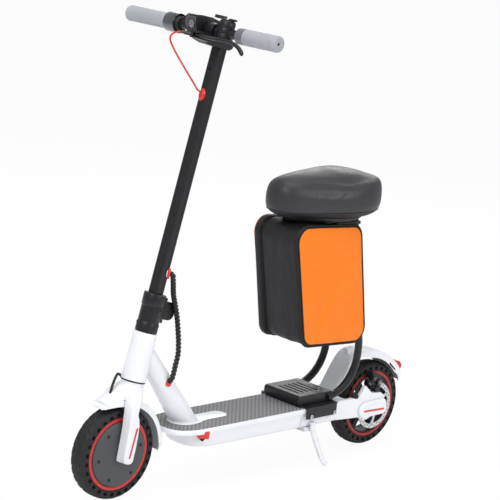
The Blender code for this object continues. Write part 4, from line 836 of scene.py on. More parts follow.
def gland(name, at, outward, upward, wide, tall, proud, body, matrix, node):
    """Rounded oval gland with a raised collar round the cable."""
    out = Vector(outward).normalized()
    up = (Vector(upward) - out * out.dot(Vector(upward))).normalized()
    rows = ((-0.0030, 1.0), (proud * 0.35, 1.0), (proud * 0.72, 0.965), (proud * 0.92, 0.90), (proud, 0.80),
            (proud * 1.02, 0.62), (proud * 1.30, 0.56), (proud * 1.34, 0.46), (proud * 1.1, 0.42))
    loops = [circle(Vector(at) + out * h, up.cross(out), up, 36, 0.5 * wide * share, 0.5 * tall * share)
             for h, share in rows]
    put(name, skin(loops), "red", body, matrix, (node,), sharp=50)


gland("gland_upper", (STEM_HALF + 0.0003, 0.0, 0.8200), (1, 0, 0), (0, 0, 1), 0.0164, 0.0286, 0.0050, "stem",
      STEER, "stem_gland_upper")
gland("gland_lower", (-CORNER, CORNER, GLAND_Z), (-1, 1, 0), (0, 0, 1), 0.0152, 0.0242, 0.0036, "stem", STEER,
      "stem_gland_lower")
gland("gland_neck", NECK_PLUG, neck_way, (0.62, 0.0, 0.78), 0.0156, 0.0170, 0.0054, "chassis", WORLD,
      "neck_gland")

brake_path = smooth([(0.1256, 0.0078, 0.9394), (0.1310, -0.0040, 0.9375), (0.1350, -0.0150, 0.9300),
                     (0.1340, -0.0190, 0.9180), (0.1190, -0.0160, 0.9000), (0.0960, -0.0110, 0.8790),
                     (0.0710, -0.0060, 0.8580), (0.0460, -0.0020, 0.8380), (0.0330, 0.0, 0.8275),
                     (0.0195, 0.0, 0.8250)], 0.003)
brake_back = brake_path[0] - brake_path[2]
put("cable_red", pipe(brake_path, 0.0021, 14), "red", "stem", STEER, ("brake_cable",))
put("cable_ferrule", merged(rod(0.0030, brake_path[0] + brake_back * 0.4, brake_path[2], 18),
                            rod(0.0036, brake_path[0] + brake_back * 0.6, brake_path[1], 6)),
    "dark_bolt", "stem", STEER, sharp=30)
motor_path = smooth([(0.0080, -0.0240, 0.1600), (0.0120, -0.0285, 0.1665), (0.0210, -0.0275, 0.1700),
                     (0.0330, -0.0200, 0.1695), (0.0440, -0.0120, 0.1605), (0.0530, -0.0050, 0.1470),
                     (0.0575, -0.0010, 0.1330), (0.0560, 0, 0.1196)], 0.002)
put("cable_motor", pipe(motor_path, 0.0030), "rubber", "steering", STEER, ("motor_cable",))
put("cable_motor_boots", merged(rod(0.0038, motor_path[0], motor_path[1], 20, 0.0036),
                                rod(0.0042, motor_path[-1], motor_path[-3], 20, 0.0034)),
    "rubber", "steering", STEER)


# Fold block and its lever

BLOCK_R = 0.0252
screws = []
for x, z in ((0.0227, 0.2966), (-0.0100, 0.2956)):
    for side in SIDES:
        out = Vector((x, side * math.sqrt(BLOCK_R ** 2 - x * x), 0.0)).normalized()
        screws.append(bolt(out * (BLOCK_R - 0.0002) + Vector((0, 0, z)), out, 0.0034, 0.0018, 18))
for side in SIDES:
    screws.append(bolt((0.0, side * 0.0240, 0.3320), (0, side, 0), 0.0058, 0.0032, 24, 0.5))
put("fold_block_screws", merged(*screws), "dark_bolt", "steering", STEER, sharp=30)

block_rows = [(0.0165, 0.2776), (0.0240, 0.2776), (0.0248, 0.2784), (0.0255, 0.2796), (0.0255, 0.2990),
              (0.0248, 0.3004), (0.0244, 0.3010), (0.0244, 0.3366), (0.0250, 0.3376), (0.0258, 0.3390),
              (0.0258, 0.3648), (0.0252, 0.3660), (0.0240, 0.36645), (0.0165, 0.36645)]
ears = [block(-0.0400, -0.0180, -0.0090, 0.0030, z, z + 0.0078) for z in (0.3020, 0.3522)]
put("fold_block_body", merged(spun(block_rows, "Z", count=72, closed=True), *ears,
                              rod(0.0035, (-0.0330, -0.0030, 0.3015), (-0.0330, -0.0030, 0.3605), 20)),
    "black", "steering", STEER, ("fold_block",), sharp=30, bevel=0.0006, angle=60)

LEVER_X = -0.0330
LEVER_Z = 0.3310


def lever_outline(x0, x1, half, radii, steps):
    line = rounded([(x0, -half), (x1, -half), (x1, half), (x0, half)], radii, steps)
    return [(x + LEVER_X, z + LEVER_Z) for x, z in line]


lever_line = lever_outline(-0.0385, 0.0040, 0.0208, [0.0160, 0.0030, 0.0030, 0.0170], 8)
pad_line = lever_outline(-0.0330, -0.0050, 0.0145, [0.0110, 0.0020, 0.0020, 0.0110], 6)
put("fold_lever_body", slab(lever_line, -0.0085, 0.0025), "black", "fold_catch", STEER,
    ("fold_lever",), sharp=40, bevel=0.0014, segments=3)
put("fold_lever_pads", merged(slab(pad_line, 0.0022, 0.0031), slab(pad_line, -0.0091, -0.0082)), "plastic",
    "fold_catch", STEER, bevel=0.0004)
ribs = []
for k in range(5):
    z = 0.3190 + 0.0055 * k
    for y in (0.0031, -0.0091):
        ribs.append(block(-0.0610, -0.0430, y - 0.0006, y + 0.0006, z - 0.0008, z + 0.0008))
put("fold_lever_ribs", merged(*ribs), "plastic", "fold_catch", STEER, bevel=0.0003)


# Lamp

LAMP_WAY = Vector((1.0, 0.0, -0.27)).normalized()
LAMP_SEAT = Vector((0.1048, 0.0040, 0.9632))


def lamp_part(name, rows, mat, node=(), sharp=60):
    """Round piece of the lamp from (radius, distance ahead of its seat) rows."""
    up = LAMP_WAY.cross(ACROSS)
    loops = [circle(LAMP_SEAT + LAMP_WAY * h, ACROSS, up, 40, r) for r, h in rows]
    put(name, skin(loops), mat, "stem", STEER, node, sharp=sharp)


lamp_part("lamp_bezel", [(0.0112, -0.0040), (0.0112, 0.0014), (0.0106, 0.0022), (0.0094, 0.0022),
                         (0.0090, 0.0008), (0.0090, -0.0030)], "gloss", sharp=30)
lamp_part("lamp_reflector", [(0.0086, 0.0004), (0.0070, -0.0020), (0.0045, -0.0036), (0.0015, -0.0040)],
          "reflector", ("headlight",))
lamp_part("lamp_lens", [(0.0089, 0.0006), (0.0089, 0.0016), (0.0070, 0.0026), (0.0040, 0.0031),
                        (0.0005, 0.0032)], "lens")


# Grips with slanted ribs

GRIP_R = 0.0178
GRIP_FROM = {"left": 0.1392, "right": 0.1072}
GRIP_STEPS = 120
RIB_PITCH = 0.0068
RIB_STARTS = 9.0
RIB_DEPTH = 0.00055


def grip(tag, side):
    start = GRIP_FROM[tag]
    first = start + 0.0012
    rows = [(0.0108, start), (GRIP_R - 0.0012, start), (GRIP_R - 0.0002, start + 0.0006)]
    rows += [(GRIP_R, first + (GRIP_END - 0.0080 - first) * k / GRIP_STEPS) for k in range(GRIP_STEPS + 1)]
    rows += [(GRIP_R + 0.0003, GRIP_END - 0.0068), (GRIP_R + 0.0003, GRIP_END - 0.0040),
             (GRIP_R - 0.0006, GRIP_END - 0.0014), (GRIP_R - 0.0026, GRIP_END - 0.0002), (0.0080, GRIP_END),
             (0.0046, GRIP_END - 0.0002), (0.0036, GRIP_END - 0.0010), (0.0030, GRIP_END - 0.0040)]
    loops = []
    for radius, y in rows:
        ribbed = clamped((y - start - 0.012) / 0.002) * clamped((GRIP_END - 0.0160 - y) / 0.002)
        loop = []
        for i in range(72):
            t = 2.0 * math.pi * i / 72
            phase = (RIB_STARTS * i / 72 + (y - start) / RIB_PITCH) % 1.0
            r = radius - RIB_DEPTH * ribbed * (phase < 0.30)
            loop.append(Vector((BAR_X + r * math.cos(t), side * y, BAR_Z + r * math.sin(t))))
        loops.append(loop)
    put("grip_sleeve_" + tag, skin(loops), "grip", "stem", STEER, ("grip_" + tag,), sharp=50)
    ends = [(BAR_X, side * (GRIP_END - inward), BAR_Z) for inward in (0.0042, 0.0036)]
    # A dark disc of painted shade stands for the hole in the grip's end
    hole = rod(0.0031, *ends, 20)
    put("grip_hole_" + tag, hole, "dull", "stem", STEER)


for side, tag in TAGS:
    grip(tag, side)


# Soft parts

def evened(obj, times, group=""):
    """Smooths the object's points, or those of a group."""
    step = obj.modifiers.new("even", "SMOOTH")
    step.factor = 0.5
    step.iterations = times
    step.vertex_group = group
    settled(obj)


def swell(obj, pressure, cap, stiff=12.0, bend=1.5, pinned=None, count=20):
    """Cloth under pressure; each point then stays within the cap of its start."""
    rest = [v.co.copy() for v in obj.data.vertices]
    step = obj.modifiers.new("swell", "CLOTH")
    cloth = step.settings
    cloth.quality = 6
    cloth.mass = 0.3
    cloth.tension_stiffness = stiff
    cloth.compression_stiffness = stiff
    cloth.shear_stiffness = 0.5 * stiff
    cloth.bending_stiffness = bend
    cloth.use_pressure = True
    cloth.uniform_pressure_force = pressure
    cloth.effector_weights.gravity = 0.0
    step.collision_settings.use_collision = False
    step.point_cache.frame_start = 1
    step.point_cache.frame_end = count
    if pinned is not None:
        group = obj.vertex_groups.new(name="held")
        group.add(pinned, 1.0, "REPLACE")
        cloth.vertex_group_mass = "held"
    for number in range(1, count + 1):
        bpy.context.scene.frame_set(number)
    settled(obj)
    bpy.context.scene.frame_set(1)
    for vertex, start in zip(obj.data.vertices, rest):
        move = vertex.co - start
        if move.length > cap:
            vertex.co = start + move * (cap / move.length)
    obj.vertex_groups.clear()


def dressed(obj, mats, body, replaces, sharp=180.0, soften=0):
    """Finish, body and declaration of a soft piece."""
    coated(obj, mats, sharp)
    if soften:
        step = obj.modifiers.new("soft", "SUBSURF")
        step.levels = soften
        step.render_levels = soften
    declare(obj, body, replaces)


# Saddle

PAN_LOW = 0.6045
CUSHION_LOW = PAN_LOW + 0.0103
SEAT_MID = -0.1500
SEAT_TILT = -0.055
SEAM_H = 0.0140
SEAT_PLAN = [(-0.3110, 0.0), (-0.3090, 0.0300), (-0.3005, 0.0600), (-0.2830, 0.0840), (-0.2560, 0.0990),
             (-0.2230, 0.1050), (-0.1850, 0.1030), (-0.1460, 0.0940), (-0.1080, 0.0820), (-0.0730, 0.0705),
             (-0.0420, 0.0590), (-0.0160, 0.0450), (0.0010, 0.0260), (0.0070, 0.0)]
# Rows of height, share of the length and share of the width
SEAT_UNDER = ((0.0, 0.790, 0.770), (0.005, 0.865, 0.855), (0.011, 0.930, 0.922), (0.019, 0.974, 0.970),
              (0.030, 0.994, 0.994), (0.043, 0.998, 0.998))
# Rows of the plan's share and the heights at nose, sides and tail
SEAT_OVER = ((0.994, 0.0575, 0.0550, 0.0560), (0.984, 0.0675, 0.0640, 0.0650),
             (0.966, 0.0770, 0.0705, 0.0730), (0.938, 0.0850, 0.0748, 0.0795),
             (0.895, 0.0920, 0.0772, 0.0848), (0.840, 0.0975, 0.0785, 0.0885),
             (0.760, 0.1015, 0.0803, 0.0920), (0.660, 0.1042, 0.0855, 0.0955),
             (0.540, 0.1058, 0.0930, 0.0985), (0.400, 0.1066, 0.0992, 0.1015),
             (0.250, 0.1069, 0.1038, 0.1046), (0.120, 0.1070, 0.1062, 0.1064),
             (0.040, 0.1070, 0.1070, 0.1070))

seat_ring = [Vector((x, y, 0.0)) for x, y in SEAT_PLAN + [(x, -y) for x, y in SEAT_PLAN[-2:0:-1]]]
seat_fine = curve([seat_ring[-1]] + seat_ring + seat_ring[:2], 24)
seat_curve = spread_evenly(seat_fine + seat_fine[:1], 132)


def seam_height(x):
    """Height of the seam on the tilted saddle."""
    return CUSHION_LOW + SEAM_H + SEAT_TILT * (x - SEAT_MID) * SEAM_H / 0.1


def seat_point(p, share_x, share_y, h):
    """Point of the saddle's skin; its rear rim stands higher at the sides."""
    x = SEAT_MID + (p.x - SEAT_MID) * share_x
    y = p.y * share_y
    lift = 0.0085 * ease((h - 0.045) / 0.035) * ease((-0.170 - x) / 0.090) * ease(abs(y) / 0.075)
    z = CUSHION_LOW + h + SEAT_TILT * (x - SEAT_MID) * h / 0.1
    return Vector((x, y, z + lift))


def seat_over(share, nose_h, side_h, tail_h):
    """Ring of the upper half: the sides' rim lies lower than the nose's and the tail's."""
    loop = []
    for p in seat_curve:
        side = min(1.0, abs(p.y) / 0.100) ** 1.3
        end_h = nose_h + (tail_h - nose_h) * ease((-0.1000 - p.x) / 0.1200)
        loop.append(seat_point(p, share, share, end_h + (side_h - end_h) * side))
    return loop


def between(rows, steps=3):
    """The rows with even steps put in between."""
    result = []
    for first, second in zip(rows, rows[1:]):
        for k in range(steps):
            result.append([a + (b - a) * k / steps for a, b in zip(first, second)])
    return result + [rows[-1]]


seat_loops = [[seat_point(p, sx, sy, h) for p in seat_curve] for h, sx, sy in between(SEAT_UNDER)]
seat_loops += [seat_over(*row) for row in between(SEAT_OVER)]
cushion = fresh("saddle_cover", skin(seat_loops))
voxels = cushion.modifiers.new("remesh", "REMESH")
voxels.mode = "VOXEL"
voxels.voxel_size = 0.0036
settled(cushion)
evened(cushion, 3)
swell(cushion, 3.0, 0.0014)
evened(cushion, 3)
for face in cushion.data.polygons:
    face.material_index = 1 if face.center.z < seam_height(face.center.x - SHIFT) else 0
dressed(cushion, ("saddle", "under"), "chassis", ("saddle_cushion",), soften=1)

WELT_R = 0.0013
welt_path = []
for p in seat_curve:
    x = SEAT_MID + (p.x - SEAT_MID) * 0.99
    aim = WORLD @ Vector((x, p.y * 0.99, seam_height(p.x)))
    at, normal = cushion.closest_point_on_mesh(aim)[1:3]
    welt_path.append((at + normal * 0.0002, normal))
welt_loops = []
for i, (at, normal) in enumerate(welt_path):
    along = (welt_path[(i + 1) % len(welt_path)][0] - welt_path[i - 1][0]).normalized()
    welt_loops.append(circle(at, normal, along.cross(normal).normalized(), 10, WELT_R))
welt = skin(welt_loops, around=True)
put("saddle_welt", welt, "welt", "chassis", ALREADY_PLACED, sharp=180.0)

pan_loops = []
for h, share_x, share_y in ((0.0, 0.64, 0.66), (0.0020, 0.66, 0.68), (0.0060, 0.70, 0.71),
                            (0.0092, 0.735, 0.725), (0.0100, 0.735, 0.725)):
    pan_loops.append([Vector((SEAT_MID + (p.x - SEAT_MID) * share_x, p.y * share_y, PAN_LOW + h))
                      for p in seat_curve])
put("saddle_base", skin(pan_loops), "plastic", "chassis", WORLD, ("saddle_pan",), sharp=40)


# Deck shell and the island under the neck

DECK_HALF = 0.0720
DECK_FRONT = 0.3020
DECK_REAR = -0.2310
DECK_NOSE = 0.1080
NOSE_POWER = 2.0 / 3.0
SIDE_STOPS = (-0.14, -0.06, 0.04, 0.12)
# Rows of height and how much narrower and shorter the deck is there
DECK_ROWS = ((0.0990, 0.0150, 0.0660), (0.0994, 0.0128, 0.0615), (0.1006, 0.0106, 0.0575),
             (0.1032, 0.0086, 0.0545), (0.1075, 0.0070, 0.0522), (0.1130, 0.0060, 0.0510),
             (0.1200, 0.0054, 0.0503), (0.1335, 0.0052, 0.0500), (0.1346, 0.0048, 0.0440),
             (0.1352, 0.0030, 0.0210), (0.1357, 0.0012, 0.0080), (0.1364, 0.0003, 0.0024), (0.1376, 0.0, 0.0),
             (0.1440, 0.0, 0.0), (0.1458, 0.0004, 0.0004), (0.1471, 0.0014, 0.0014),
             (DECK_TOP, 0.0030, 0.0030))
ISLAND_TIP = DECK_FRONT - 0.207
ISLAND_HALF = 0.0210
ISLAND_WIDE = 0.0335


def deck_line(z, narrow, short):
    """Plan of the deck at one height: square rear, rounded front."""
    half = DECK_HALF - narrow
    nose_x = DECK_FRONT - short - DECK_NOSE
    line = [(DECK_REAR, -half), (DECK_REAR, half)] + [(x, half) for x in SIDE_STOPS]
    for k in range(41):
        angle = math.pi * k / 40.0
        line.append((nose_x + DECK_NOSE * abs(math.sin(angle)) ** NOSE_POWER,
                     half * signed_power(math.cos(angle), NOSE_POWER)))
    line += [(x, -half) for x in SIDE_STOPS[::-1]]
    return [Vector((x, y, z)) for x, y in line]


def island_line(z, extra):
    """Plan of the island: a round tip that widens into the foot of the neck."""
    quarter = [0.5 * math.pi * k / 12 for k in range(13)]
    upper = [(ISLAND_TIP + ISLAND_HALF - (ISLAND_HALF + extra) * math.cos(angle),
              (ISLAND_HALF + extra) * math.sin(angle)) for angle in quarter]
    for back, half in ((0.137, ISLAND_HALF), (0.120, ISLAND_HALF + 0.0020), (0.103, ISLAND_HALF + 0.0080),
                       (0.089, ISLAND_WIDE - 0.0010)):
        upper.append((DECK_FRONT - back, half + extra))
    for angle in quarter[::-1]:
        upper.append((DECK_FRONT - 0.076 + (0.038 + extra) * math.cos(angle),
                      (ISLAND_WIDE + extra) * math.sin(angle)))
    return [Vector((x, y, z)) for x, y in upper + [(x, -y) for x, y in upper[-2:0:-1]]]


deck = fresh("deck_body", skin([deck_line(*row) for row in DECK_ROWS]))
cut(deck, block(-0.2150, 0.1950, -0.0540, 0.0540, 0.0890, 0.1430))
coated(deck, ("white",), 30)
declare(deck, "chassis", ("deck_shell",))
ISLAND_ROWS = ((0.1470, 0.0), (0.1496, 0.0), (0.1503, -0.0005), (0.1506, -0.0014))
island = [island_line(*row) for row in ISLAND_ROWS]
put("deck_island", skin(island), "white", "chassis", sharp=50)
seams = [block(x - 0.0003, x + 0.0003, side * 0.0664, side * 0.0675, 0.1015, 0.1270)
         for side in SIDES for x in (-0.1010, -0.1035)]
put("deck_side_seams", merged(*seams), "white_soft", "chassis", sharp=30)


# Neck: head tube and a down tube that widens into its foot

NECK_HIGH = Vector((STEER_X - 0.0531, 0.0, 0.3429))
NECK_LOW = Vector((STEER_X - 0.1562, 0.0, 0.2129))
# Rows of the share of the way down, the two half axes and the turn toward the deck
NECK_ROWS = ((0.0, 0.0221, 0.0218, 0.0), (0.12, 0.0224, 0.0220, 0.0), (0.28, 0.0232, 0.0226, 0.0),
             (0.45, 0.0240, 0.0232, 0.0), (0.60, 0.0247, 0.0238, 0.02), (0.74, 0.0254, 0.0245, 0.05),
             (0.88, 0.0262, 0.0252, 0.10), (1.0, 0.0272, 0.0260, 0.20), (1.10, 0.0283, 0.0268, 0.34),
             (1.20, 0.0297, 0.0277, 0.50), (1.28, 0.0312, 0.0286, 0.66), (1.35, 0.0328, 0.0295, 0.82),
             (1.41, 0.0345, 0.0304, 0.94))
# Rows of place, height and the two half axes
FOOT_ROWS = ((0.2292, 0.1560, 0.0358, 0.0312), (0.2280, 0.1530, 0.0368, 0.0321),
             (0.2272, 0.1512, 0.0384, 0.0336), (0.2266, 0.1505, 0.0402, 0.0354))


def down_tube():
    down = NECK_LOW - NECK_HIGH
    loops = []
    for t, a, b, turn in NECK_ROWS:
        normal = down.normalized().lerp(Vector((0.0, 0.0, -1.0)), turn).normalized()
        loops.append(circle(NECK_HIGH + down * t, ACROSS.cross(normal).normalized(), ACROSS, 56, a, b))
    for x, z, a, b in FOOT_ROWS:
        loops.append(circle(Vector((x, 0.0, z)), Vector((-1.0, 0.0, 0.0)), ACROSS, 56, a, b))
    return skin(loops)


head_rows = [(0.0172, 0.1662), (0.0274, 0.1662), (0.0283, 0.1670), (0.0284, 0.1700), (0.0273, 0.2735),
             (0.0271, 0.2758), (0.0265, 0.2768), (0.0172, 0.2768)]
head_tube = spun(head_rows, "Z", count=96, closed=True)
head_tube.transform(WORLD.inverted() @ STEER)
neck = merged(head_tube, down_tube())
put("neck_body", neck, "white", "chassis", WORLD, ("neck",), sharp=40)


# Mudguards

GUARD_R = TYRE_R + 0.020
GUARD_HALF = TYRE_HALF + 0.006
GUARD_THICK = 0.0028
AXLE = STEER_IN @ FRONT_WHEEL.translation


def guard_section(half, depth):
    """U section as (side, outward) rows, first its outside, then as many rows of its inside."""
    r = min(0.0085, half * 0.45, depth * 0.9)
    outer = [(-half, -depth)]
    for k in range(8):
        angle = 0.5 * math.pi * k / 7
        outer.append((-half + r - r * math.cos(angle), -r + r * math.sin(angle)))
    other_side = [(-side, out) for side, out in outer[::-1]]
    outer += [(side, 0.0) for side in (-0.4 * half, 0.0, 0.4 * half)] + other_side
    inner = []
    for side, out in outer[::-1]:
        inner_side = math.copysign(max(0.0, abs(side) - GUARD_THICK), side) if abs(side) > half - r else side
        edge = out if out <= -depth + 1e-9 else out - GUARD_THICK * max(0.0, 1.0 + out / r)
        inner.append((inner_side, edge))
    return outer + inner


def guard(name, rows, body, matrix, node):
    """Mudguard from (point, outward, half width, depth) rows; its inner side is painted grey as shade."""
    loops = []
    for point, out, half, depth in rows:
        loops.append([point + ACROSS * side + out * away for side, away in guard_section(half, depth)])
    bm = skin(loops)
    bm.faces.ensure_lookup_table()
    per_row = len(loops[0])
    # The inner faces take the grey of painted shade
    for i in range(len(loops) - 1):
        for j in range(per_row // 2 - 1, per_row - 1):
            bm.faces[i * per_row + j].material_index = 1
    put(name, bm, ("white", "guard_inner_shade"), body, matrix, (node,), sharp=48)


front_rows = []
for k in range(61):
    t = k / 60.0
    angle = math.radians(50.5 + 122.0 * t)
    rise = min(1.0, t / 0.20)
    fall = max(0.0, (t - 0.90) / 0.10)
    half = GUARD_HALF * (0.45 + 0.55 * math.sqrt(1.0 - (1.0 - rise) ** 2)) * (1.0 - 0.30 * fall * fall)
    out = Vector((math.cos(angle), 0.0, math.sin(angle)))
    front_rows.append((AXLE + out * GUARD_R, out, half, 0.0060 + 0.0090 * rise - 0.0060 * fall))
guard("guard_front", front_rows, "steering", STEER, "front_mudguard")

rear_path = smooth([(-0.2516, 0, DECK_TOP + 0.0051), (-0.2700, 0, 0.1830), (-0.2890, 0, 0.2130),
                    (-0.3080, 0, 0.2380), (-0.3290, 0, 0.2515), (-0.3590, 0, 0.2535), (-0.3870, 0, 0.2510),
                    (-0.4120, 0, 0.2460), (-0.4360, 0, 0.2370), (-0.4580, 0, 0.2250), (-0.4790, 0, 0.2105),
                    (-0.4960, 0, 0.1940), (-0.5080, 0, 0.1750), (-0.5130, 0, 0.1560)], 0.0050)
rear_rows = []
for k, point in enumerate(rear_path):
    along = direction(rear_path, k)
    out = Vector((-along.z, 0.0, along.x))
    if out.dot(point - Vector((REAR_X, 0.0, TYRE_R))) < 0.0:
        out = -out
    t = k / (len(rear_path) - 1)
    half = GUARD_HALF + 0.0005
    depth = 0.0100 + 0.0090 * clamped((t - 0.25) / 0.25) + 0.0080 * max(0.0, t - 0.70) / 0.30
    if t > 0.86:
        s = (t - 0.86) / 0.14
        half *= 1.0 - 0.32 * s * s
        depth = 0.0233 * (1.0 - 0.58 * s)
    rear_rows.append((point, out, half, depth))
guard("guard_rear", rear_rows, "chassis", WORLD, "rear_mudguard")

catch = rounded([(-0.3370, 0.2470), (-0.3140, 0.2420), (-0.3105, 0.2560), (-0.3180, 0.2600),
                 (-0.3250, 0.2560), (-0.3330, 0.2625)], 0.0025, 4)
put("guard_catch", slab(catch, -0.0080, 0.0080), "white", "chassis", bevel=0.0010)
# Dark slabs of painted shade stand for the slits in the rear mudguard's sides
vent_line = rounded([(-0.4500, 0.2135), (-0.4790, 0.1890), (-0.4745, 0.1885), (-0.4520, 0.2060)], 0.0012, 3)
vents = [slab(vent_line, side * 0.0286, side * 0.0299) for side in SIDES]
put("guard_vent_shade", merged(*vents), "dull", "chassis", sharp=30)


# Fork: plates over the axle that fade into the legs, crown and the mudguard's bracket

# Rows of height, rear and front edge, outer face and the radius of its corners
SHOE_ROWS = ((-0.0152, 0.0005, 0.0090, 0.0535, 0.0010), (-0.0148, -0.0020, 0.0118, 0.0548, 0.0016),
             (-0.0132, -0.0054, 0.0150, 0.0559, 0.0024), (-0.0100, -0.0082, 0.0174, 0.0565, 0.0030),
             (-0.0050, -0.0094, 0.0188, 0.0565, 0.0030), (0.0200, -0.0084, 0.0220, 0.0565, 0.0030),
             (0.0500, -0.0060, 0.0250, 0.0562, 0.0030), (0.0720, -0.0028, 0.0272, 0.0556, 0.0030),
             (0.0860, 0.0010, 0.0286, 0.0547, 0.0026), (0.0960, 0.0060, 0.0270, 0.0535, 0.0020))
SHOE_IN = 0.0430
for side, tag in TAGS:
    shoe = []
    for z, low, high, out, corner in SHOE_ROWS:
        line = rounded([(low, SHOE_IN), (high, SHOE_IN), (high, out), (low, out)], [0.0, 0.0, corner, corner])
        shoe.append([Vector((x, side * y, z)) for x, y in line])
    put("fork_shoe_" + tag, skin(shoe), "white", "steering", STEER, ("fork_cover_" + tag,),
        sharp=50)
crown_rows = [(0.0240, 0.1480), (0.0262, 0.1530), (0.0268, 0.1580), (0.0269, 0.1622), (0.0262, 0.1632),
              (0.0200, 0.1632)]
put("crown_top", spun(crown_rows, "Z", count=96), "white", "steering", STEER, sharp=50)

BRACKET_HALF = 0.0256
BRACKET_LOW = GUARD_R - 0.0015
bracket_path = smooth([(0.0020, 0.0, 0.1590), (0.0130, 0.0, 0.1588), (0.0265, 0.0, 0.1548),
                       (0.0435, 0.0, 0.1440), (0.0575, 0.0, 0.1315), (0.0690, 0.0, 0.1200),
                       (0.0790, 0.0, 0.1085)], 0.0030)
arc = [math.pi * k / 40 for k in range(41)]
bracket = []
for point in bracket_path:
    out = (point - AXLE).normalized()
    rise = (point - AXLE).length - BRACKET_LOW
    line = [(math.cos(t), rise * math.sin(t)) for t in arc] + [(-0.6, 0.0), (0.0, 0.0), (0.6, 0.0)]
    low = AXLE + out * BRACKET_LOW
    bracket.append([low + out * high + ACROSS * BRACKET_HALF * share for share, high in line])
put("guard_bracket", skin(bracket), "white", "steering", STEER, sharp=70)


# Seat clamp: slotted case with a dark sheet of painted shade under the slots, screws and saddles

CLAMP_TOP = 0.1780
CLAMP_LOW = 0.1534
CASE_HALF = 0.0580
CASE_WALL = 0.0040
SLOT_PITCH = 0.0158
case_line = rounded([(-0.2110, CLAMP_LOW), (-0.1000, CLAMP_LOW), (-0.0940, 0.1612), (-0.0940, CLAMP_TOP),
                     (-0.2110, CLAMP_TOP)], [0, 0.003, 0.006, 0.011, 0], 7)
case = fresh("clamp_case", slab(case_line, -CASE_HALF, CASE_HALF))
cutters = [block(-0.2075, -0.1060, CASE_WALL - CASE_HALF, CASE_HALF - CASE_WALL, 0.1500, CLAMP_TOP - 0.0030)]
for k in range(5):
    x = -0.1175 - SLOT_PITCH * k
    slot_corners = [(x - 0.0028, -0.0320), (x + 0.0028, -0.0320), (x + 0.0028, 0.0370), (x - 0.0028, 0.0370)]
    slot_line = rounded(slot_corners, 0.0027, 4)
    cutters.append(slab(slot_line, CLAMP_TOP - 0.0060, CLAMP_TOP + 0.0040, "Z"))
cut(case, *cutters)
bevelled(case, 0.0011, angle=50)
coated(case, ("black",), 35)
declare(case, "chassis", ("clamp_box",))
# The dark sheet under the slots is painted shade inside the case
put("clamp_slot_shade", block(-0.2060, -0.1080, -0.0530, 0.0530, 0.1690, 0.1700), "dull", "chassis")
screws = [bolt((x, y, CLAMP_TOP - 0.0002), (0, 0, 1), 0.0027, 0.0018, 18, 0.4)
          for x, y in ((-0.1960, -0.0070), (-0.1960, 0.0290), (-0.1760, 0.0455), (-0.1960, -0.0430))]
screws += [bolt((x, side * 0.0799, 0.1305), (0, side, 0), 0.0050, 0.0036, 24)
           for side in SIDES for x in (-0.1232, -0.2042)]
put("clamp_screws", merged(*screws), "bolt", "chassis", sharp=30)
tabs = []
for side in SIDES:
    tabs.append(block(-0.2110, -0.1180, side * 0.0600, side * 0.0740, 0.1526, 0.1545))
    tabs.append(rod(0.0125, (-0.2112, side * 0.0535, 0.1640), (-0.1960, side * 0.0535, 0.1630), 28))
put("clamp_saddles", merged(*tabs), "black", "chassis", sharp=40, bevel=0.0006, angle=60)


# Rear brake: barrel, bolts and hose, the yoke's grommet, axle nuts

parts = [rod(0.0085, (-0.3900, 0.0500, 0.1740), (-0.3900, 0.0580, 0.1740), 28),
         rod(0.0060, (-0.3720, 0.0500, 0.1860), (-0.3720, 0.0560, 0.1860), 24),
         rod(0.0045, (-0.3640, 0.0480, 0.1700), (-0.3540, 0.0500, 0.1790), 20)]
put("caliper_barrel", merged(*parts), "gloss", "chassis", sharp=40, bevel=0.0008, angle=60)
screws = [bolt((-0.3900, 0.0578, 0.1740), ACROSS, 0.0034, 0.0020, 18)]
screws += [bolt((x, 0.0508, z), ACROSS, 0.0026, 0.0018, 16)
           for x, z in ((-0.3980, 0.1640), (-0.3740, 0.1620))]
put("caliper_screws", merged(*screws), "bolt", "chassis", sharp=30)
hose_path = smooth([(-0.2960, 0.0560, 0.1500), (-0.3060, 0.0560, 0.1660), (-0.3240, 0.0540, 0.1860),
                    (-0.3450, 0.0520, 0.1900), (-0.3590, 0.0495, 0.1745)], 0.002)
put("brake_hose", pipe(hose_path, 0.0022, 12), "rubber", "chassis")
grommet_rows = [(0.0100, 0.1470), (0.0100, 0.1500), (0.0092, 0.1540), (0.0066, 0.1575), (0.0034, 0.1590)]
grommet = spun(grommet_rows, "Z", (-0.3000, 0.0560, 0.0), 36)
put("yoke_grommet", grommet, "rubber", "chassis", sharp=60)
nuts = [bolt((REAR_X, side * 0.0644, TYRE_R), (0, side, 0), 0.0075, 0.0040, 6, 0.3) for side in SIDES]
put("rear_axle_nuts", merged(*nuts), "dark_bolt", "chassis", sharp=30)


# Throttle collar

BAR_MIDDLE = (BAR_X, 0.0, BAR_Z)
collar_rows = [(0.0108, -0.1068), (0.0202, -0.1068), (0.0214, -0.1060), (0.0220, -0.1044), (0.0221, -0.0900),
               (0.0221, -0.0740), (0.0217, -0.0722), (0.0210, -0.0714), (0.0200, -0.0716), (0.0195, -0.0728),
               (0.0194, -0.0880), (0.0108, -0.0888)]
collar = spun(collar_rows, centre=BAR_MIDDLE, count=96, closed=True)
put("throttle_collar", collar, "smoke", "stem", STEER, ("throttle_housing",), sharp=32)
edge_rows = [(0.0209, -0.0735), (0.0222, -0.0735), (0.0224, -0.0716), (0.0218, -0.0706), (0.0205, -0.0706),
             (0.0199, -0.0716), (0.0199, -0.0735)]
collar_edge = spun(edge_rows, centre=BAR_MIDDLE, count=96, closed=True)
put("throttle_rim", collar_edge, "gloss", "stem", STEER, sharp=40)


# Bell: ribbed shell on the bar, a cap with a thumb lever and a tail

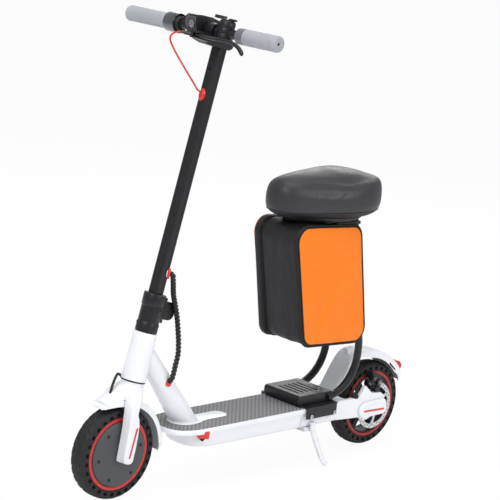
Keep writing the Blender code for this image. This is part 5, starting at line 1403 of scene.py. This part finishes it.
BELL_Y = 0.0735
BELL_TOP = 0.9873
BELL_BASE = (BAR_X, BELL_Y, 0.0)
RIB_TALL = 0.0130
bell_rows = [(0.0118, 0.9442), (0.0172, 0.9442)]
for k in range(3):
    z = 0.9446 + RIB_TALL * k
    bell_rows += [(0.0179, z + 0.0003), (0.0181, z + 0.0012), (0.0181, z + 0.0112), (0.0179, z + 0.0120),
                  (0.0175, z + 0.0125)]
bell_rows += [(0.0176, 0.9846), (0.0168, 0.9860), (0.0150, 0.9870), (0.0118, 0.9870)]
bell = fresh("bell_shell", spun(bell_rows, "Z", BELL_BASE, 72), STEER)
cut(bell, rod(0.0108, (BAR_X, 0.0400, BAR_Z), (BAR_X, 0.1100, BAR_Z), 40), matrix=STEER)
coated(bell, ("black",), 40)
declare(bell, "stem", ("bell",))

cap = spun([(0.0142, BELL_TOP), (0.0146, BELL_TOP + 0.0008), (0.0142, BELL_TOP + 0.0024),
            (0.0118, BELL_TOP + 0.0034), (0.0040, BELL_TOP + 0.0040)], "Z", BELL_BASE, 48)
thumb = rounded([(0.0020, -0.0060), (0.0080, -0.0250), (0.0180, -0.0290), (0.0150, -0.0120),
                 (0.0080, 0.0040)], 0.0020, 4)
tail = rounded([(-0.0060, 0.0060), (-0.0025, 0.0250), (0.0055, 0.0275), (0.0075, 0.0060)], 0.0030, 4)
levers = [slab([(BAR_X + x, BELL_Y + y) for x, y in line], BELL_TOP + 0.0006, BELL_TOP + high, "Z")
          for line, high in ((thumb, 0.0078), (tail, 0.0052))]
put("bell_levers", merged(cap, *levers), "gloss", "bell_thumb", STEER, ("bell_lever",),
    bevel=0.0009, angle=60)


# Brake lever

LEVER_ROOT = Vector((0.1130, 0.0420, 0.9400))
# Rows of the place from the root and the two half axes
BLADE = [Vector(row) for row in (
    (0.0, -0.0040, 0.0, 0.0060, 0.0036), (0.0020, 0.0120, 0.0, 0.0060, 0.0036),
    (-0.0040, 0.0350, -0.0005, 0.0062, 0.0036), (-0.0100, 0.0640, 0.0010, 0.0066, 0.0040),
    (-0.0120, 0.0920, 0.0000, 0.0062, 0.0042), (-0.0100, 0.1160, -0.0070, 0.0055, 0.0045),
    (-0.0085, 0.1310, -0.0170, 0.0042, 0.0050), (-0.0080, 0.1345, -0.0215, 0.0024, 0.0032))]
blade_rows = curve(BLADE[:1] + BLADE + BLADE[-1:], 6) + BLADE[-1:]
blade_path = [Vector(row[:3]) for row in blade_rows]
blade = []
for i, point in enumerate(blade_path):
    along = direction(blade_path, i)
    wide = (Vector((1.0, 0.0, 0.0)) - along * along.x).normalized()
    blade.append(circle(LEVER_ROOT + point, wide, wide.cross(along), 24, *blade_rows[i][3:]))
put("lever_blade", skin(blade), "black", "brake", STEER, ("brake_lever",), sharp=60)


# Panel behind the lamp

face = [[Vector((x - 0.0030, -0.0160, z)), Vector((x + 0.0006, -0.0160, z)), Vector((x + 0.0006, 0.0160, z)),
         Vector((x - 0.0030, 0.0160, z))] for x, z in ((0.1098, 0.9790), (0.1044, 0.9600), (0.1000, 0.9540))]
put("lamp_face", skin(face), "motor", "stem", STEER, sharp=30, bevel=0.0008, angle=60)


# Charge port: fixed strap, turning cover and a dark patch of painted shade under it

PORT = WORLD @ Matrix.Translation((0.2220, 0.0603, 0.0)) @ Matrix.Rotation(math.radians(-18.2), 4, "Z")
strap_line = rounded([(0.0155, 0.1420), (-0.0150, 0.1420), (-0.0146, 0.1290), (0.0130, 0.1290)], 0.0016, 4)
cover_line = rounded([(0.0128, 0.1287), (-0.0146, 0.1287), (-0.0142, 0.1240), (0.0100, 0.1262)], 0.0010, 4)
# The dark patch under the cover is painted shade; it turns with the cover
shade_line = rounded([(0.0094, 0.1266), (-0.0080, 0.1262), (-0.0030, 0.1222), (0.0015, 0.1185)], 0.0010, 4)
put("port_strap", slab(strap_line, -0.0020, 0.0112), "red", "chassis", PORT, bevel=0.0008)
put("port_cover", slab(cover_line, -0.0008, 0.0112), "red", "port_flap", PORT,
    ("charge_port_cover",), bevel=0.0006)
put("port_cover_shade", slab(shade_line, -0.0008, 0.0092), "dull", "port_flap", PORT,
    bevel=0.0005)


# Tail light

tail_line = rounded([(-0.4900, 0.1960), (-0.4985, 0.2065), (-0.5125, 0.2020), (-0.5205, 0.1925),
                     (-0.5175, 0.1830), (-0.5020, 0.1790)], 0.0040)
tail_lens = slab(tail_line, -0.0130, 0.0130)
put("tail_lens", tail_lens, "red_ring", "chassis", WORLD, ("tail_light",), bevel=0.0012)


# Bag

BAG_CORNERS = [(-0.0829, 0.3100), (-0.0173, PAN_LOW - 0.0069), (-0.2395, PAN_LOW - 0.0187), (-0.2988, 0.2994)]
BAG_CORNER = 0.030
BAG_RIM = 0.008
BAG_SPLIT = -0.0535
BAG_SIDE = 0.0680
BAG_FAR = 0.0765
BAG_POINTS = 148
PANEL_T = 0.0035
SPLIT_GAP = 0.0003
POST_Y = 0.0535
POST_R = 0.0095
POST_BASE = Vector((-0.2934, 0.0, 0.3010))
POST_WAY = Vector((math.sin(math.radians(12.0)), 0.0, math.cos(math.radians(12.0))))
BAG_MIDDLE = Vector((sum(x for x, z in BAG_CORNERS) / 4.0, 0.0, sum(z for x, z in BAG_CORNERS) / 4.0))
BODY_FRONT = BAG_SIDE - PANEL_T - SPLIT_GAP
BODY_BACK = BAG_SPLIT + SPLIT_GAP
LID_NEAR = BAG_SPLIT - SPLIT_GAP
LID_FAR = -BAG_FAR + PANEL_T + SPLIT_GAP


def grown(points, offset):
    """Outline whose edges all move outward by the offset."""
    lines = []
    for i, point in enumerate(points):
        a = Vector(point)
        d = (Vector(points[(i + 1) % len(points)]) - a).normalized()
        lines.append((a + Vector((d.y, -d.x)) * offset, d))
    result = []
    for i, (q, e) in enumerate(lines):
        p, d = lines[i - 1]
        t = ((q.x - p.x) * e.y - (q.y - p.y) * e.x) / (d.x * e.y - d.y * e.x)
        result.append((p.x + d.x * t, p.y + d.y * t))
    return result


def bag_line(offset, y=0.0, count=BAG_POINTS):
    """Even points round the bag, moved outward by the offset."""
    fine = rounded(grown(BAG_CORNERS, offset), BAG_CORNER + max(offset, -0.024), 10)
    closed = [Vector((x, 0.0, z)) for x, z in fine + fine[:1]]
    return [p + ACROSS * y for p in spread_evenly(closed, count)]


def toward_front(p):
    """Share from the bag's middle to its front edge."""
    return clamped((p.x - BAG_MIDDLE.x) / 0.060)


def lid_line(offset, y):
    """Outline of the lid: its front edge stands a little ahead toward the bottom."""
    ahead = Vector((0.0055, 0.0, 0.0))
    return [p + ahead * toward_front(p) * clamped((0.560 - p.z) / 0.240) for p in bag_line(offset, y)]


def set_back(points, by):
    """The outline with its front edge moved back."""
    return [p - Vector((by * toward_front(p), 0.0, 0.0)) for p in points]


def creases(obj, depth, scale, along, seed, share=None):
    """Soft hand-made folds: each point moves along its normal by smooth noise."""
    moves = []
    for vertex in obj.data.vertices:
        p = vertex.co
        value = noise.fractal(Vector((p.x * along[0], p.y * along[1], p.z * along[2])) * scale
                              + Vector((seed, seed * 0.7, -seed)), 0.7, 2.1, 3)
        moves.append(vertex.normal * (value * depth * (share(p) if share else 1.0)))
    for vertex, move in zip(obj.data.vertices, moves):
        vertex.co += move


def sleeves(*sides):
    """Rods that cut the passages of the seat tubes."""
    result = []
    for side in sides:
        base = POST_BASE + Vector((0, side * POST_Y, 0))
        result.append(rod(POST_R + 0.0008, base - POST_WAY * 0.06, base + POST_WAY * 0.36, 32))
    return result


def away_from_rims(p):
    return max(0.0, min(1.0, (p.y - BODY_BACK) / 0.010, (BODY_FRONT - p.y) / 0.012))


# Side band of the bag, swelled between its two rims

BAND_STEPS = 26
band = []
for k in range(BAND_STEPS + 1):
    t = k / BAND_STEPS
    edge = max(0.0, 1.0 - (1.0 - t) / 0.06)
    band.append(bag_line(BAG_RIM - 0.0030 - 0.0022 * edge * edge,
                         BODY_BACK + (BODY_FRONT - 0.0010 - BODY_BACK) * t))
gusset = fresh("bag_band", skin(band, caps=False))
rims = list(range(2 * BAG_POINTS)) + list(range((BAND_STEPS - 1) * BAG_POINTS, (BAND_STEPS + 1) * BAG_POINTS))
swell(gusset, 2.0, 0.0040, stiff=8.0, bend=0.6, pinned=rims)
creases(gusset, 0.0012, 15.0, (1.0, 2.8, 0.45), 3.1, away_from_rims)
wall = gusset.modifiers.new("wall", "SOLIDIFY")
wall.thickness = 0.0036
wall.offset = -1.0
settled(gusset)
cut(gusset, *sleeves(1.0, -1.0))
dressed(gusset, ("leather",), "chassis", ("bag_body",), sharp=50.0)

# Board that closes the near side, under its panel

# Rows of the inset from the rim and the distance behind the panel
BOARD_ROWS = ((0.0030, 0.0040), (0.0022, 0.0030), (0.0022, 0.0008), (0.0032, 0.0))
board = skin([bag_line(BAG_RIM - inset, BODY_FRONT - depth) for inset, depth in BOARD_ROWS])
put("bag_board", board, "welt", "chassis", WORLD, sharp=40)

# Lid

lid = fresh("bag_lid_shell", skin([
    bag_line(-0.004, LID_NEAR), bag_line(BAG_RIM - 0.0040, LID_NEAR),
    bag_line(BAG_RIM - 0.0026, LID_NEAR - 0.0012),
    lid_line(BAG_RIM - 0.0004, LID_NEAR - 0.0060), lid_line(BAG_RIM + 0.0002, LID_NEAR - 0.0110),
    lid_line(BAG_RIM - 0.0002, LID_FAR + 0.0026), lid_line(BAG_RIM - 0.0022, LID_FAR),
    bag_line(-0.004, LID_FAR)]))
cut(lid, *sleeves(-1.0))
dressed(lid, ("leather",), "bag_flap", ("bag_lid",), sharp=35.0)


# Padded panels

PANEL_RINGS = 15
PANEL_EDGE = [(1.0, 0.0), (1.0, 0.30), (1.0, 0.60), (0.994, 0.80), (0.982, 0.92)]


def panel(tag, side, outer, grow, back, body, seed):
    """Padded panel from its inner edge to its outer face."""
    inner = outer - PANEL_T + 0.0002
    outline = set_back(bag_line(grow), back)
    rows = PANEL_EDGE + [(0.96 * (1.0 - k / PANEL_RINGS), 1.0) for k in range(PANEL_RINGS)]
    loops = []
    for share, depth in rows:
        y = side * (inner + (outer - inner) * depth)
        loops.append([BAG_MIDDLE + (p - BAG_MIDDLE) * share + ACROSS * y for p in outline])
    obj = fresh("bag_skin_" + tag, skin(loops))
    swell(obj, 1.2, 0.0016, stiff=16.0, bend=3.0, pinned=list(range(BAG_POINTS)))
    face_points = obj.vertex_groups.new(name="inner")
    face_points.add(list(range(4 * BAG_POINTS, len(obj.data.vertices))), 1.0, "REPLACE")
    evened(obj, 12, "inner")
    creases(obj, 0.0006, 11.0, (1.0, 1.0, 1.0), seed)
    dressed(obj, ("orange",), body, ("bag_panel_" + tag,), soften=1)


panel("left", 1.0, BAG_SIDE, 0.0010, 0.0055, "chassis", 7.3)
panel("right", -1.0, BAG_FAR, 0.0058, 0.0, "bag_flap", 9.1)


# Piping

def piping(name, offset, y, radius, body, back=0.0):
    """Round trim that follows the bag's outline."""
    points = set_back(bag_line(offset, y, 220), back)
    loops = []
    for i, p in enumerate(points):
        along = (points[(i + 1) % len(points)] - points[i - 1]).normalized()
        out = along.cross(ACROSS).normalized()
        if out.dot(p - BAG_MIDDLE) < 0.0:
            out = -out
        loops.append(circle(p, out, ACROSS, 12, radius))
    put(name, skin(loops, around=True), "welt", body, WORLD, sharp=180.0)


piping("bag_piping_left", 0.0018, BAG_SIDE - 0.0032, 0.0018, "chassis", 0.0055)
piping("bag_edge_left", BAG_RIM - 0.0022, BODY_FRONT - 0.0018, 0.0026, "chassis")
piping("bag_welt_body", BAG_RIM - 0.0022, BODY_BACK + 0.0022, 0.0017, "chassis")
piping("bag_welt_lid", BAG_RIM - 0.0022, LID_NEAR - 0.0024, 0.0017, "bag_flap")


# Plate and bracket that carry the saddle on the two tubes

PLATE_LOW = 0.6006
plate_line = rounded([(-0.2440, -0.0600), (-0.1250, -0.0560), (-0.1250, 0.0560), (-0.2440, 0.0600)], 0.012)
put("saddle_plate", slab(plate_line, PLATE_LOW, PAN_LOW - 0.0002, "Z"), "plastic", "chassis",
    bevel=0.0006)
seat_block = block(-0.2430, -0.1600, -0.0420, 0.0620, 0.5930, PLATE_LOW + 0.0004)
put("saddle_bracket", seat_block, "plastic", "chassis", bevel=0.0015)

# Strip of cloth that joins the lid to the band along their lower edge

TAPE_ENDS = (-0.2650, -0.1150)
TAPE_STEPS = 24
(low_x, low_z), (rear_x, rear_z) = BAG_CORNERS[0], BAG_CORNERS[3]
slope = (low_z - rear_z) / (low_x - rear_x)
hem = [(x, rear_z + slope * (x - rear_x) - BAG_RIM + 0.0010) for x in TAPE_ENDS]
tape_loops = []
for k in range(TAPE_STEPS + 1):
    y = -0.0430 - 0.0210 * k / TAPE_STEPS
    tape_loops.append([Vector((x, y, z - 0.0012)) for x, z in hem]
                      + [Vector((x, y, z + 0.0004)) for x, z in hem[::-1]])
tape = fresh("bag_hinge_strip", skin(tape_loops))
tape.data.materials.append(M["leather"])
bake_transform(tape)
